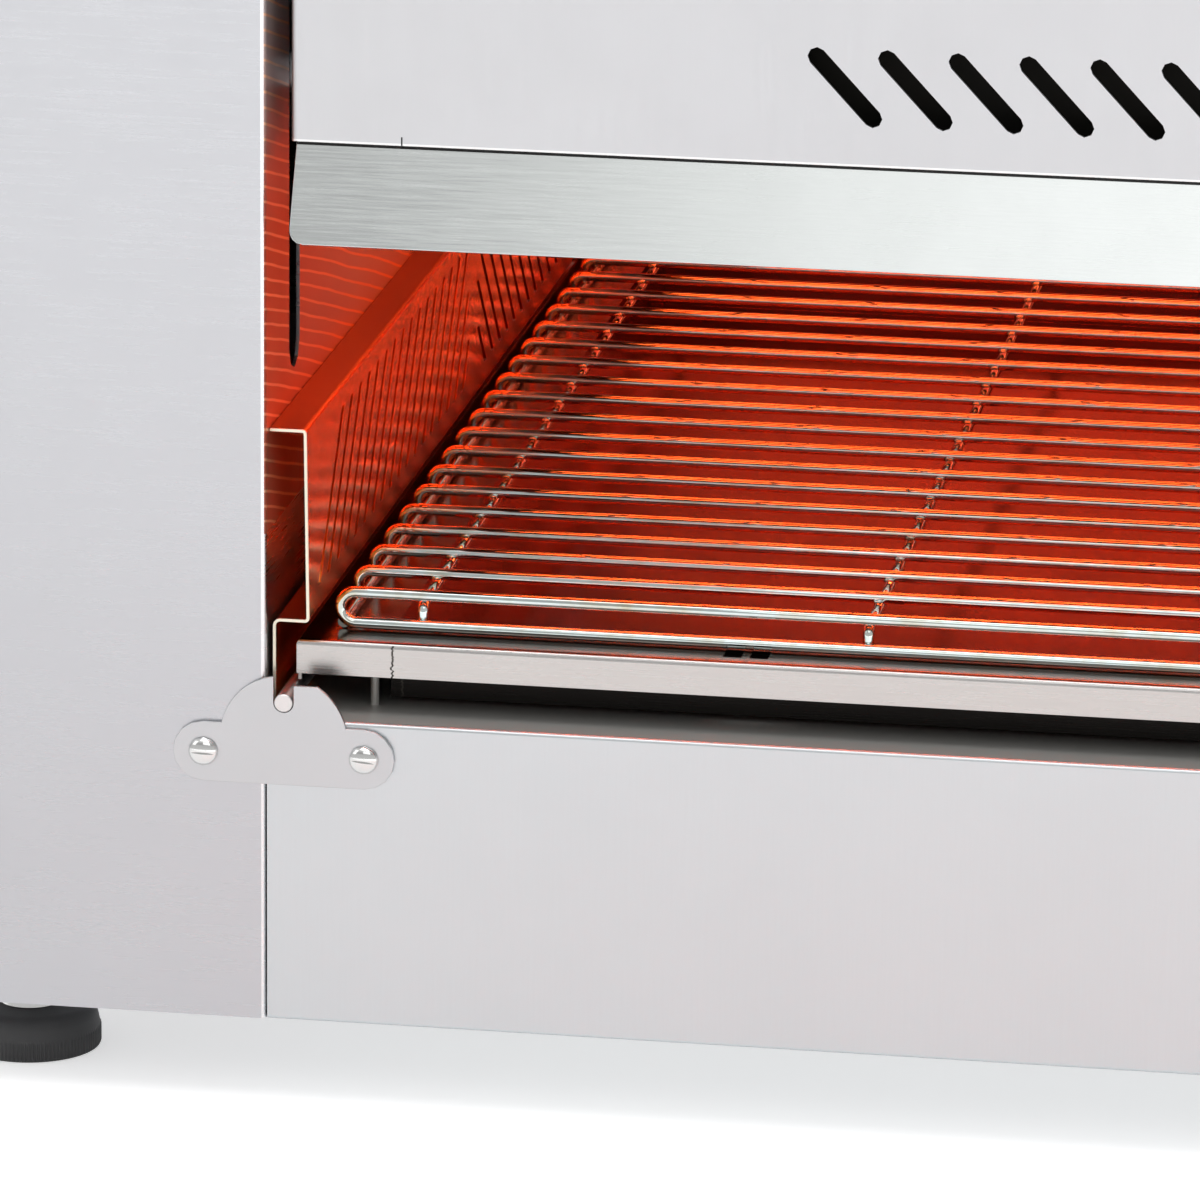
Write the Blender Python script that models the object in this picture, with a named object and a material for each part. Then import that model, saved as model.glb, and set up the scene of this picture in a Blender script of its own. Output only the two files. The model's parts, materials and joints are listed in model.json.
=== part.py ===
"""Salamander grill whose heating hood is lifted and lowered between two columns.

Metres, +Z up, +Y to the back, +X to the right seen from the front. The origin is on the floor
under the middle of the whole machine. Lengths named "in" run from the inner wall of a column
towards the cavity, lengths named "back" run from the front face of the columns to the rear, and
heights are taken from the lower edge of the body unless a comment says otherwise.
"""
import math

import bmesh
import bpy
from mathutils import Matrix, Vector

# Whole machine
CAVITY_WIDTH = 0.550
COLUMN_WIDTH = 0.125
BODY_DEPTH = 0.636
BODY_HEIGHT = 0.500
FOOT_HEIGHT = 0.030
SHEET = 0.0012
GAP = 0.0003
SEAM = 0.0008
CORNER_RADIUS = 0.0020
OVERRUN = 0.002
BEND_STEPS = 3
ARC_STEPS = 8
ROUND_SIDES = 12
FINE_SIDES = 18
SHARP_ANGLE = math.radians(35)

# Base between the columns
BASE_TOP = 0.1048
PANEL_RISE = 0.0014
PANEL_TOP = BASE_TOP + PANEL_RISE
PANEL_HEM = 0.0032
PANEL_HEM_DROP = 0.0048
PANEL_RETURN = 0.0120
PANEL_BEND = 0.0015
BOTTOM_RAISE = 0.0015
FLOOR_SHEET = 0.0020
PAN_SLOTS = 8
PAN_SLOT_LENGTH = 0.120
PAN_SLOT_WIDTH = 0.008
PAN_SLOT_PITCH = 0.040
REAR_VENTS = 12
REAR_VENT_LENGTH = 0.080
REAR_VENT_WIDTH = 0.006
REAR_VENT_PITCH = 0.016
REAR_VENT_DROP = 0.0600

# Column covers
CAP_SHEET = 0.0015
SOCKET_RADIUS = 0.0110
SOCKET_DEPTH = 0.0140

# Slots in the inner walls, in which the arms of the hood run
WALL_SLOT_BACK = 0.0490
WALL_SLOT_WIDTH = 0.0180
WALL_SLOT_LENGTH = 0.1985

# Folded side guards beside the grid
GUARD_SHEET = 0.0010
GUARD_BACK = 0.0057
GUARD_WEB_TOP_IN = 0.0128
GUARD_WEB_FOOT_IN = 0.0138
GUARD_SHELF_RISE = 0.0337
GUARD_SHELF = BASE_TOP + GUARD_SHELF_RISE
GUARD_RISE = 0.0667
GUARD_TOP = GUARD_SHELF + GUARD_RISE
GUARD_LEG_IN = 0.0023
GUARD_BEND = 0.0015
GUARD_SLOT_RISE = 0.0087
GUARD_SLOT_LOW = GUARD_SHELF + GUARD_SLOT_RISE
GUARD_SLOT_DROP = 0.0072
GUARD_SLOT_HIGH = GUARD_TOP - GUARD_SLOT_DROP
GUARD_SLOT_RUN = 0.0457
GUARD_SLOT_BACK = 0.0236
GUARD_SLOT_PITCH = 0.0159
GUARD_SLOT_WIDTH = 0.0042
GUARD_MIDDLE_WEB = 0.0097
GUARD_GROUP_END = BODY_DEPTH / 2 - GUARD_MIDDLE_WEB
GUARD_GROUP_ROOM = GUARD_GROUP_END - GUARD_SLOT_BACK - GUARD_SLOT_WIDTH
GUARD_SLOTS = 1 + int(GUARD_GROUP_ROOM / GUARD_SLOT_PITCH)

# Runner rods of the tray and the brackets at their front ends
ROD_RADIUS = 0.0031
ROD_IN = 0.0064
ROD_RISE = 0.0075
ROD_HEIGHT = BASE_TOP + ROD_RISE
ROD_PROUD = 0.0022
BRACKET_SHEET = 0.0015
EAR_RADIUS = 0.0104
EAR_DROP = 0.0183
EAR_HEIGHT = ROD_HEIGHT - EAR_DROP
EAR_LEFT_IN = -0.0211
EAR_RIGHT_IN = 0.0338
DISC_RADIUS = 0.0217
DISC_DROP = 0.0124
DISC_HEIGHT = ROD_HEIGHT - DISC_DROP
NOTCH_RADIUS = 0.00345
BRACKET_FLAT_RISE = 0.0060
BRACKET_FLAT = ROD_HEIGHT + BRACKET_FLAT_RISE
SCREW_HEAD_RADIUS = 0.0050
SCREW_HEAD_RISE = 0.0027
SCREW_CROWN_STEPS = 3
SCREW_CROWN_SHARE = 0.88
SCREW_SHANK_RADIUS = 0.0020
SCREW_LENGTH = 0.0080
SCREW_SLOT = 0.0009
SCREW_SLOT_DEPTH = 0.0012
SCREW_HOLE_RADIUS = 0.0024

# Drip tray
TRAY_BACK = 0.0130
TRAY_SIDE_IN = 0.0079
TRAY_SKIRT = 0.0150
TRAY_RIM_TOP = ROD_HEIGHT + ROD_RADIUS + GAP + TRAY_SKIRT
TRAY_LIP = 0.0120
TRAY_RIM = 0.0200
TRAY_SIDE_RIM = 0.0300
TRAY_SHEET = 0.0012
TRAY_CLEAR = 0.0020
TRAY_FLOOR = BASE_TOP + TRAY_CLEAR + TRAY_SHEET
TRAY_WINDOW_IN = 0.1518
TRAY_WINDOW_BACK = 0.0192
TRAY_WINDOW_DEPTH = 0.0090
TRAY_WINDOW_LENGTH = 0.0062
TRAY_WINDOW_STEP = 0.0090
PIN_RADIUS = 0.0015
PIN_SIDES = 8
PIN_IN = 0.0320
PIN_BACK = 0.0280

# Wire grid
WIRE_RADIUS = 0.0020
WIRE_SIDES = 6
WIRE_BEND_STEPS = 1
LOOP_STEPS = 6
GRID_SIDE_IN = 0.0200
GRID_FRAME_IN = 0.0210
GRID_FRONT_BACK = 0.0285
GRID_RISE = 0.0130
GRID_TOP = TRAY_RIM_TOP + GRID_RISE
GRID_WIRES = 22
GRID_PITCH = (BODY_DEPTH - 2 * GRID_FRONT_BACK) / (GRID_WIRES - 1)
GRID_BEND = 0.0040
GRID_RUNNER_IN = 0.0477
GRID_RUNNERS = 4
WELD_DEPTH = 0.0004

# Hood casing
HOOD_SIDE_IN = 0.0078
HOOD_BACK = 0.0040
HOOD_REAR_CLEAR = 0.0080
HOOD_END = BODY_DEPTH - HOOD_REAR_CLEAR
HOOD_BOTTOM = 0.3037
HOOD_HEIGHT = 0.1680
HOOD_LIFT_DOWN = 0.093
VENT_COUNT = 9
VENT_IN = 0.2010
VENT_PITCH = 0.0231
VENT_RUN = 0.0188
VENT_RISE = 0.0200
VENT_HEIGHT = 0.0162
VENT_WIDTH = 0.0061
HOOD_LID_SKIRT = 0.0120
HOOD_VENTS = 8
HOOD_VENT_LENGTH = 0.060
HOOD_VENT_WIDTH = 0.005
HOOD_VENT_PITCH = 0.011

# Visor under the hood
VISOR_SIDE_IN = 0.0095
VISOR_REACH = 0.0090
VISOR_DROP = 0.0317
VISOR_FOOT = HOOD_BOTTOM - VISOR_DROP
VISOR_FLANGE = 0.0120
VISOR_CORNER = 0.0045

# Reflector, insulation and heating tubes in the hood
LINER_SIDE = 0.0120
LINER_DEPTH = 0.0440
LINER_SHEET = 0.0010
LINER_FLANGE_RAISE = 0.0008
INSULATION_HEIGHT = 0.025
INSULATION_INSET = 0.012
TUBE_COUNT = 4
TUBE_RADIUS = 0.0060
TUBE_HEIGHT = 0.0260
TUBE_END_INSET = 0.1100
TUBE_CAP_RADIUS = 0.0090
TUBE_CAP_LENGTH = 0.0080
FENDER_RODS = 9
FENDER_BARS = 2
FENDER_RADIUS = 0.0018
FENDER_HEIGHT = 0.0060
FENDER_INSET = 0.0350

# Hood handle
HANDLE_STANDOFF = 0.0380
HANDLE_RADIUS = 0.0075
HANDLE_LENGTH = 0.420
HANDLE_RISE = 0.1150
HANDLE_END_RADIUS = 0.0050
POST_RADIUS = 0.0080
POST_FOOT_RADIUS = 0.0120
POST_FOOT = 0.0040
POST_SPACING = 0.340

# Lifting gear in the columns, one set on each side
ARM_RISE = 0.0140
ARM_RADIUS = 0.0070
ARM_END_CLEAR = 0.0022
ARM_SHANK_RADIUS = 0.0040
NUT_RADIUS = 0.0075
NUT_LENGTH = 0.0050
CARRIAGE_OUT = 0.0080
CARRIAGE_SHEET = 0.0060
CARRIAGE_INSET = 0.0360
CARRIAGE_HEIGHT = 0.0400
GUIDE_RADIUS = 0.0060
GUIDE_OUT = 0.0360
GUIDE_INSET = 0.1100
GUIDE_END_GAP = 0.0010
BLOCK_WIDTH = 0.0280
BLOCK_HEIGHT = 0.0600
BLOCK_CLEAR = 0.0004
STRUT_BODY_RADIUS = 0.0110
STRUT_ROD_RADIUS = 0.0050
STRUT_LUG_RISE = 0.0813
STRUT_LUG_HEIGHT = HOOD_BOTTOM + STRUT_LUG_RISE
STRUT_TOP_CLEAR = 0.0300
STRUT_BODY_HIGH = STRUT_LUG_HEIGHT - HOOD_LIFT_DOWN - STRUT_TOP_CLEAR
STRUT_BORE_LOW = 0.0500
STRUT_END_SPACE = 0.0080
STRUT_LUG_SHEET = 0.0050
STRUT_LUG_WIDTH = 0.0300
STRUT_STEM_RADIUS = 0.0032
STRUT_STEM = 0.0090
STRUT_FOOT_RADIUS = 0.0060

# Controls on the right column
KNOB_DROP = 0.1000
KNOB_TOP = BODY_HEIGHT - KNOB_DROP
KNOB_PITCH = 0.0980
KNOB_RADIUS = 0.0220
KNOB_SKIRT = 0.0050
KNOB_LENGTH = 0.0250
KNOB_GRIP_RADIUS = 0.0185
KNOB_GRIP_WIDTH = 0.0095
KNOB_CLEAR = 0.0012
KNOB_EDGE = 0.0015
SHAFT_RADIUS = 0.0030
SHAFT_INSIDE = 0.0100
SHAFT_HOLE_RADIUS = 0.0040
REGULATOR_WIDTH = 0.0460
REGULATOR_HEIGHT = 0.0400
REGULATOR_DEPTH = 0.0380
TIMER_WIDTH = 0.0500
TIMER_DEPTH = 0.0460
LAMP_RISE = 0.0380
LAMP_RADIUS = 0.0045
LAMP_BEZEL_RADIUS = 0.0070
LAMP_BEZEL = 0.0018
LAMP_DOME = 0.0022
LAMP_DOME_SHARE = 0.65
LAMP_DEPTH = 0.0180
SWITCH_DROP = 0.0890
SWITCH_HEIGHT = KNOB_TOP - 2 * KNOB_PITCH - SWITCH_DROP
SWITCH_WIDTH = 0.0220
SWITCH_LENGTH = 0.0300
SWITCH_BEZEL = 0.0030
SWITCH_PROUD = 0.0020
SWITCH_DEPTH = 0.0200
SWITCH_WALL = 0.0012
ROCKER_PROUD = 0.0052
ROCKER_TILT = math.radians(9)
ROCKER_PIVOT_BACK = 0.0030
ROCKER_OUTLINE_SHARES = ((-1.0, 0.94), (-0.72, 0.0), (-1.0, -0.94), (0.0, -0.86), (0.9, 0.0), (0.0, 0.86))

# Mains inlet
GLAND_IN = 0.0600
GLAND_HEIGHT = 0.0450
GLAND_RADIUS = 0.0110
GLAND_BORE_RADIUS = 0.0055
GLAND_NECK = 0.0095
GLAND_PROUD = 0.0200
GLAND_INSIDE = 0.0120
TERMINAL_LENGTH = 0.0700
TERMINAL_WIDTH = 0.0240
TERMINAL_HEIGHT = 0.0220
TERMINAL_INSET = 0.0660
GLAND_CAP_SHARES = ((0.75, 1.0), (1.0, 0.65), (1.25, 0.50), (1.25, 0.0))

# Levelling feet
PAD_RADIUS = 0.0245
PAD_HEIGHT = 0.0215
PAD_PROFILE_SHARES = ((0.92, 0.0), (1.0, 0.14), (1.0, 0.58), (0.90, 0.78), (0.55, 1.0))
PAD_INSET_OUT = 0.0320
PAD_INSET_BACK = 0.0480
STUD_RADIUS = 0.0050
COLLAR_RADIUS = 0.0095
STUD_TOP = 0.0180
FOOT_NUT_HEIGHT = 0.0080
FOOT_NUT_RADIUS = 0.0095

HALF_CAVITY = CAVITY_WIDTH / 2
COVER_TOP = BODY_HEIGHT + GAP
FLOOR_TOP = BOTTOM_RAISE + FLOOR_SHEET
ROD_NOTCH_HEIGHT = ROD_HEIGHT - ROD_RADIUS - GAP + NOTCH_RADIUS
HANDLE_FRONT = HANDLE_STANDOFF + HANDLE_RADIUS * math.cos(math.pi / ROUND_SIDES) - HOOD_BACK
FACE_Y = (HANDLE_FRONT - BODY_DEPTH - GAP - GLAND_PROUD) / 2
REAR_INNER = BODY_DEPTH - SHEET
SIDES = {"left": -1, "right": 1}
ENDS = ("front", "rear")
KNOB_NAMES = ("front_zone", "rear_zone", "timer")


def across(side, inward):
    """World x of a point that lies so far in from the inner wall of a side."""
    return side * (HALF_CAVITY - inward)


def span(side, first, second):
    """The same for two lengths, lowest x first."""
    return sorted((across(side, first), across(side, second)))


def back(distance):
    """World y of a point so far behind the front face of the columns."""
    return FACE_Y + distance


def mirror_back(distance):
    """The same distance counted from the rear of the body."""
    return BODY_DEPTH - distance


def up(height):
    """World z of a height above the lower edge of the body."""
    return FOOT_HEIGHT + height


def middle_of_column(side):
    return across(side, -COLUMN_WIDTH / 2)


# Materials

def make_material(name, colour, roughness, metallic, alpha=1.0):
    material = bpy.data.materials.new(name)
    material.use_nodes = True
    shader = material.node_tree.nodes["Principled BSDF"]
    shader.inputs["Base Color"].default_value = (*colour, 1.0)
    shader.inputs["Roughness"].default_value = roughness
    shader.inputs["Metallic"].default_value = metallic
    shader.inputs["Alpha"].default_value = alpha
    material.diffuse_color = (*colour, 1.0)
    return material


# Outlines, each a list of 2-D points

def arc(centre, radius, start, end, steps=ARC_STEPS):
    """Points on an arc, angles in degrees."""
    points = []
    for step in range(steps + 1):
        angle = math.radians(start + (end - start) * step / steps)
        points.append((centre[0] + radius * math.cos(angle), centre[1] + radius * math.sin(angle)))
    return points


def fillet(path, radius, steps=BEND_STEPS):
    """Round the inner corners of an open path."""
    rounded = [Vector(path[0])]
    for before, corner, after in zip(path, path[1:], path[2:]):
        corner = Vector(corner)
        towards = (Vector(before) - corner).normalized()
        away = (Vector(after) - corner).normalized()
        half = towards.angle(away) / 2
        reach = radius / math.tan(half)
        start = corner + towards * reach
        end = corner + away * reach
        centre = corner + (towards + away).normalized() * (radius / math.sin(half))
        turn = (start - centre).angle_signed(end - centre)
        for step in range(steps + 1):
            spoke = (start - centre).copy()
            spoke.rotate(Matrix.Rotation(-turn * step / steps, 2))
            rounded.append(centre + spoke)
    rounded.append(Vector(path[-1]))
    return rounded


def sheet_outline(path, thickness, left=True):
    """Closed outline of a sheet whose one face follows the path and whose body lies to one side."""
    path = [Vector(point) for point in path]
    sign = 1 if left else -1
    inner = []
    for index, point in enumerate(path):
        ahead = path[min(index + 1, len(path) - 1)]
        behind = path[max(index - 1, 0)]
        first = (point - behind).normalized() if index else (ahead - point).normalized()
        second = (ahead - point).normalized() if ahead != point else first
        normal_one = Vector((-first.y, first.x)) * sign
        normal_two = Vector((-second.y, second.x)) * sign
        bisector = (normal_one + normal_two).normalized()
        inner.append(point + bisector * (thickness / bisector.dot(normal_one)))
    return path + inner[::-1]


def stadium(start, end, width, steps=ARC_STEPS // 2):
    """Slot with round ends between two end centres."""
    direction = math.degrees(math.atan2(end[1] - start[1], end[0] - start[0]))
    outline = arc(end, width / 2, direction - 90, direction + 90, steps)
    return outline + arc(start, width / 2, direction + 90, direction + 270, steps)


# Mesh helpers, each of which adds closed shapes to a bmesh

def plane_across(axis):
    """The two directions across an axis and the axis itself, as places in a point."""
    along = "XYZ".index(axis)
    first, second = [index for index in range(3) if index != along]
    return first, second, along


def place(point, depth, axis):
    """A 2-D point and a depth along an axis, as a 3-D point."""
    first, second, along = plane_across(axis)
    result = [0.0, 0.0, 0.0]
    result[first], result[second], result[along] = point[0], point[1], depth
    return result


def bridge(bm, loops, closed=False):
    """Faces between neighbouring loops of vertices."""
    pairs = list(zip(loops, loops[1:]))
    if closed:
        pairs.append((loops[-1], loops[0]))
    for lower, upper in pairs:
        count = len(lower)
        for index in range(count):
            following = (index + 1) % count
            bm.faces.new((lower[index], lower[following], upper[following], upper[index]))


def add_prism(bm, outline, axis, low, high):
    loops = [[bm.verts.new(place(point, depth, axis)) for point in outline] for depth in (low, high)]
    bridge(bm, loops)
    bm.faces.new(loops[0])
    bm.faces.new(loops[1])


def add_box(bm, low, high):
    outline = [(low[0], low[1]), (high[0], low[1]), (high[0], high[1]), (low[0], high[1])]
    add_prism(bm, outline, "Z", low[2], high[2])


def add_rect_loops(bm, rectangles, axis="Z"):
    """Closed body through rectangles (low, high, depth), capped at both ends."""
    loops = []
    for low, high, depth in rectangles:
        corners = [low, (high[0], low[1]), high, (low[0], high[1])]
        loops.append([bm.verts.new(place(corner, depth, axis)) for corner in corners])
    bridge(bm, loops)
    bm.faces.new(loops[0])
    bm.faces.new(loops[-1])


def add_turned(bm, profile, centre, axis, sides=ROUND_SIDES, hollow=False):
    """Turned shape from (radius, distance) pairs along an axis, which close into a ring if hollow."""
    first, second, along = plane_across(axis)
    loops = []
    for radius, distance in profile:
        loop = []
        for index in range(sides):
            angle = 2 * math.pi * (index + 0.5) / sides
            point = [0.0, 0.0, 0.0]
            point[first] = centre[first] + radius * math.cos(angle)
            point[second] = centre[second] + radius * math.sin(angle)
            point[along] = centre[along] + distance
            loop.append(bm.verts.new(point))
        loops.append(loop)
    bridge(bm, loops, closed=hollow)
    if not hollow:
        bm.faces.new(loops[0])
        bm.faces.new(loops[-1])


def add_cylinder(bm, radius, centre, axis, low, high, sides=ROUND_SIDES):
    """Plain round bar between two world depths along its axis."""
    at = list(centre)
    at["XYZ".index(axis)] = 0.0
    add_turned(bm, [(radius, low), (radius, high)], at, axis, sides)


def add_wire(bm, path, radius=WIRE_RADIUS, sides=WIRE_SIDES, closed=False):
    """Round wire along a path that lies in one plane."""
    path = [Vector(point) for point in path]
    count = len(path)
    normal = Vector((0.0, 0.0, 0.0))
    for index in range(1, count - 1):
        normal += (path[index] - path[index - 1]).cross(path[index + 1] - path[index])
    if normal.length == 0:
        normal = (path[1] - path[0]).orthogonal()
    normal.normalize()
    loops = []
    for index, point in enumerate(path):
        ahead = path[(index + 1) % count] if closed or index < count - 1 else point
        behind = path[index - 1] if closed or index else point
        into = (point - behind).normalized() if behind != point else (ahead - point).normalized()
        out = (ahead - point).normalized() if ahead != point else into
        tangent = (into + out).normalized()
        side = tangent.cross(normal)
        stretch = 1 / max(tangent.dot(into), 0.5)
        loop = []
        for step in range(sides):
            angle = 2 * math.pi * step / sides
            offset = side * (math.cos(angle) * radius * stretch) + normal * (math.sin(angle) * radius)
            loop.append(bm.verts.new(point + offset))
        loops.append(loop)
    bridge(bm, loops, closed=closed)
    if not closed:
        bm.faces.new(loops[0])
        bm.faces.new(loops[-1])


def finish(name, bm, material, body=None, smooth=True):
    """Turn a bmesh into a named object that rides on its body."""
    bmesh.ops.recalc_face_normals(bm, faces=bm.faces)
    mesh = bpy.data.meshes.new(name)
    bm.to_mesh(mesh)
    bm.free()
    if smooth:
        mesh.shade_smooth()
        mesh.set_sharp_from_angle(angle=SHARP_ANGLE)
    mesh.materials.append(material)
    piece = bpy.data.objects.new(name, mesh)
    bpy.context.scene.collection.objects.link(piece)
    if body:
        piece.parent = body
        piece.matrix_parent_inverse = Matrix.Translation(-body.location)
    return piece


def make_body(name, location):
    """Empty on a joint's axis that carries the moving pieces."""
    empty = bpy.data.objects.new(name, None)
    empty.location = location
    bpy.context.scene.collection.objects.link(empty)
    return empty


def combine(piece, bm, name, operation):
    """Boolean of a piece with the shapes in a bmesh."""
    helper = finish(name, bm, piece.data.materials[0], piece.parent, smooth=False)
    helper.hide_render = True
    helper.display_type = "WIRE"
    modifier = piece.modifiers.new(name, "BOOLEAN")
    modifier.operation = operation
    modifier.object = helper
    return piece


def cut(piece, bm, name):
    return combine(piece, bm, name, "DIFFERENCE")


def unite(piece, bm, name):
    return combine(piece, bm, name, "UNION")


# Casing

def control_holes(bm):
    """Holes for shafts, lamps and the switch in the front of the right column."""
    x = middle_of_column(1)
    front, rear = back(-OVERRUN), back(SHEET + OVERRUN)
    for knob in range(3):
        height = up(KNOB_TOP - knob * KNOB_PITCH)
        add_cylinder(bm, SHAFT_HOLE_RADIUS, (x, 0, height), "Y", front, rear)
        if knob < 2:
            add_cylinder(bm, LAMP_RADIUS + GAP, (x, 0, height + LAMP_RISE), "Y", front, rear)
    half_x = SWITCH_WIDTH / 2 + SWITCH_WALL + GAP
    half_z = SWITCH_LENGTH / 2 + SWITCH_WALL + GAP
    z = up(SWITCH_HEIGHT)
    add_box(bm, (x - half_x, front, z - half_z), (x + half_x, rear, z + half_z))


def wall_slots(bm, side):
    """Upright slots for the arms, one near each end of the wall."""
    arm_lowest = HOOD_BOTTOM + ARM_RISE - HOOD_LIFT_DOWN
    foot = up(arm_lowest - ARM_RADIUS - ARM_END_CLEAR)
    low = foot + WALL_SLOT_WIDTH / 2
    high = foot + WALL_SLOT_LENGTH - WALL_SLOT_WIDTH / 2
    x_low, x_high = span(side, -SHEET - OVERRUN, OVERRUN)
    for distance in (WALL_SLOT_BACK, mirror_back(WALL_SLOT_BACK)):
        outline = stadium((back(distance), low), (back(distance), high), WALL_SLOT_WIDTH)
        add_prism(bm, outline, "X", x_low, x_high)


def bracket_screw_hole(bm, side, inward):
    centre = (across(side, inward), 0, up(EAR_HEIGHT))
    front = back(-BRACKET_SHEET - GAP - OVERRUN)
    add_cylinder(bm, SCREW_HOLE_RADIUS, centre, "Y", front, back(SHEET + OVERRUN))


def column_wall(label, side, steel):
    path = [(across(side, -COLUMN_WIDTH), back(0)), (across(side, 0), back(0)),
            (across(side, 0), back(REAR_INNER - GAP))]
    bm = bmesh.new()
    outline = sheet_outline(fillet(path, CORNER_RADIUS), SHEET, left=side < 0)
    add_prism(bm, outline, "Z", up(0), up(BODY_HEIGHT))
    inner = finish(f"{label}_column_wall", bm, steel)
    holes = bmesh.new()
    wall_slots(holes, side)
    bracket_screw_hole(holes, side, EAR_LEFT_IN)
    if side > 0:
        control_holes(holes)
    cut(inner, holes, f"{label}_wall_cuts")


def guide_places(side):
    """Axes of a column's two guide rods."""
    distances = (GUIDE_INSET, mirror_back(GUIDE_INSET))
    return [(across(side, -GUIDE_OUT), back(distance), 0) for distance in distances]


def column_cover(label, side, steel):
    """Outer side, rear and top in one, with sockets for the guide rods under the top."""
    outer = across(side, -COLUMN_WIDTH)
    path = [(outer, back(SHEET + GAP)), (outer, back(BODY_DEPTH)),
            (across(side, -SEAM / 2), back(BODY_DEPTH))]
    outline = sheet_outline(fillet(path, CORNER_RADIUS), SHEET, left=side > 0)
    bm = bmesh.new()
    add_prism(bm, outline, "Z", up(0), up(COVER_TOP + CAP_SHEET / 2))
    cover = finish(f"{label}_column_cover", bm, steel)

    top = bmesh.new()
    x_low, x_high = span(side, -COLUMN_WIDTH, 0)
    add_box(top, (x_low, back(0), up(COVER_TOP)), (x_high, back(BODY_DEPTH), up(COVER_TOP + CAP_SHEET)))
    unite(cover, top, f"{label}_cover_top")
    sockets, bores = bmesh.new(), bmesh.new()
    for axis in guide_places(side):
        low = up(COVER_TOP - SOCKET_DEPTH)
        add_cylinder(sockets, SOCKET_RADIUS, axis, "Z", low, up(COVER_TOP + CAP_SHEET / 2))
        add_cylinder(bores, GUIDE_RADIUS + GAP, axis, "Z", low - OVERRUN, up(COVER_TOP))
    unite(cover, sockets, f"{label}_upper_sockets")
    cut(cover, bores, f"{label}_upper_bores")


def column_floor(label, side, steel):
    """Plate with sockets for the guide rods and the gas strut, and holes for the feet."""
    bm = bmesh.new()
    x_low, x_high = span(side, SHEET + GAP - COLUMN_WIDTH, -SHEET - GAP)
    low = (x_low, back(SHEET + GAP), up(BOTTOM_RAISE))
    add_box(bm, low, (x_high, back(REAR_INNER - GAP), up(FLOOR_TOP)))
    floor = finish(f"{label}_column_floor", bm, steel)
    sockets, bores = bmesh.new(), bmesh.new()
    places = [(axis, GUIDE_RADIUS) for axis in guide_places(side)]
    places.append(((across(side, -GUIDE_OUT), back(BODY_DEPTH / 2), 0), STRUT_FOOT_RADIUS))
    for axis, radius in places:
        rim = up(FLOOR_TOP + SOCKET_DEPTH)
        add_cylinder(sockets, SOCKET_RADIUS, axis, "Z", up(FLOOR_TOP - FLOOR_SHEET / 2), rim)
        add_cylinder(bores, radius + GAP, axis, "Z", up(FLOOR_TOP), rim + OVERRUN)
    for distance in (PAD_INSET_BACK, mirror_back(PAD_INSET_BACK)):
        axis = (across(side, PAD_INSET_OUT - COLUMN_WIDTH), back(distance), 0)
        add_cylinder(bores, STUD_RADIUS + GAP, axis, "Z", up(0), up(FLOOR_TOP) + OVERRUN)
    unite(floor, sockets, f"{label}_lower_sockets")
    cut(floor, bores, f"{label}_floor_bores")


def base(steel, bright):
    half = HALF_CAVITY - SEAM / 2
    bm = bmesh.new()
    path = [(back(PANEL_RETURN), up(0)), (back(0), up(0)), (back(0), up(PANEL_TOP)),
            (back(PANEL_HEM), up(PANEL_TOP)), (back(PANEL_HEM), up(PANEL_TOP - PANEL_HEM_DROP))]
    outline = sheet_outline(fillet(path, PANEL_BEND), SHEET, left=False)
    add_prism(bm, outline, "X", -half, half)
    panel = finish("lower_front_panel", bm, steel)
    holes = bmesh.new()
    for side in SIDES.values():
        bracket_screw_hole(holes, side, EAR_RIGHT_IN)
    cut(panel, holes, "panel_screw_holes")

    inside = HALF_CAVITY - GAP
    front = back(PANEL_HEM + GAP)
    rear = back(REAR_INNER - GAP)
    bm = bmesh.new()
    add_box(bm, (-inside, front, up(BASE_TOP - SHEET)), (inside, rear, up(BASE_TOP)))
    top = finish("base_top_sheet", bm, bright)
    pins = bmesh.new()
    for side in SIDES.values():
        axis = (across(side, PIN_IN), back(PIN_BACK), 0)
        pin_top = up(TRAY_RIM_TOP - TRAY_SHEET - GAP)
        add_cylinder(pins, PIN_RADIUS, axis, "Z", up(BASE_TOP - SHEET / 2), pin_top, sides=PIN_SIDES)
    unite(top, pins, "tray_pins")

    bm = bmesh.new()
    add_box(bm, (-inside, back(PANEL_RETURN + GAP), up(BOTTOM_RAISE)), (inside, rear, up(FLOOR_TOP)))
    pan = finish("base_bottom_pan", bm, steel, smooth=False)
    holes = bmesh.new()
    middle = back(BODY_DEPTH / 2)
    add_slot_row(holes, PAN_SLOTS, PAN_SLOT_PITCH, (PAN_SLOT_WIDTH, PAN_SLOT_LENGTH), "Z",
                 (0, middle), (up(0), up(FLOOR_TOP) + OVERRUN))
    cut(pan, holes, "pan_slots")

    bm = bmesh.new()
    add_box(bm, (-half, back(REAR_INNER), up(0)), (half, back(BODY_DEPTH), up(BODY_HEIGHT)))
    panel = finish("back_panel", bm, steel, smooth=False)
    holes = bmesh.new()
    depths = (back(REAR_INNER) - OVERRUN, back(BODY_DEPTH) + OVERRUN)
    add_cylinder(holes, GLAND_NECK + GAP, (across(1, GLAND_IN), 0, up(GLAND_HEIGHT)), "Y", *depths)
    for side in SIDES.values():
        add_cylinder(holes, ROD_RADIUS + GAP, (across(side, ROD_IN), 0, up(ROD_HEIGHT)), "Y", *depths)
    add_slot_row(holes, REAR_VENTS, REAR_VENT_PITCH, (REAR_VENT_WIDTH, REAR_VENT_LENGTH), "Y",
                 (0, up(BODY_HEIGHT - REAR_VENT_DROP - REAR_VENT_LENGTH / 2)), depths)
    cut(panel, holes, "back_panel_holes")


# Side guards, brackets and runner rods

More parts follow.
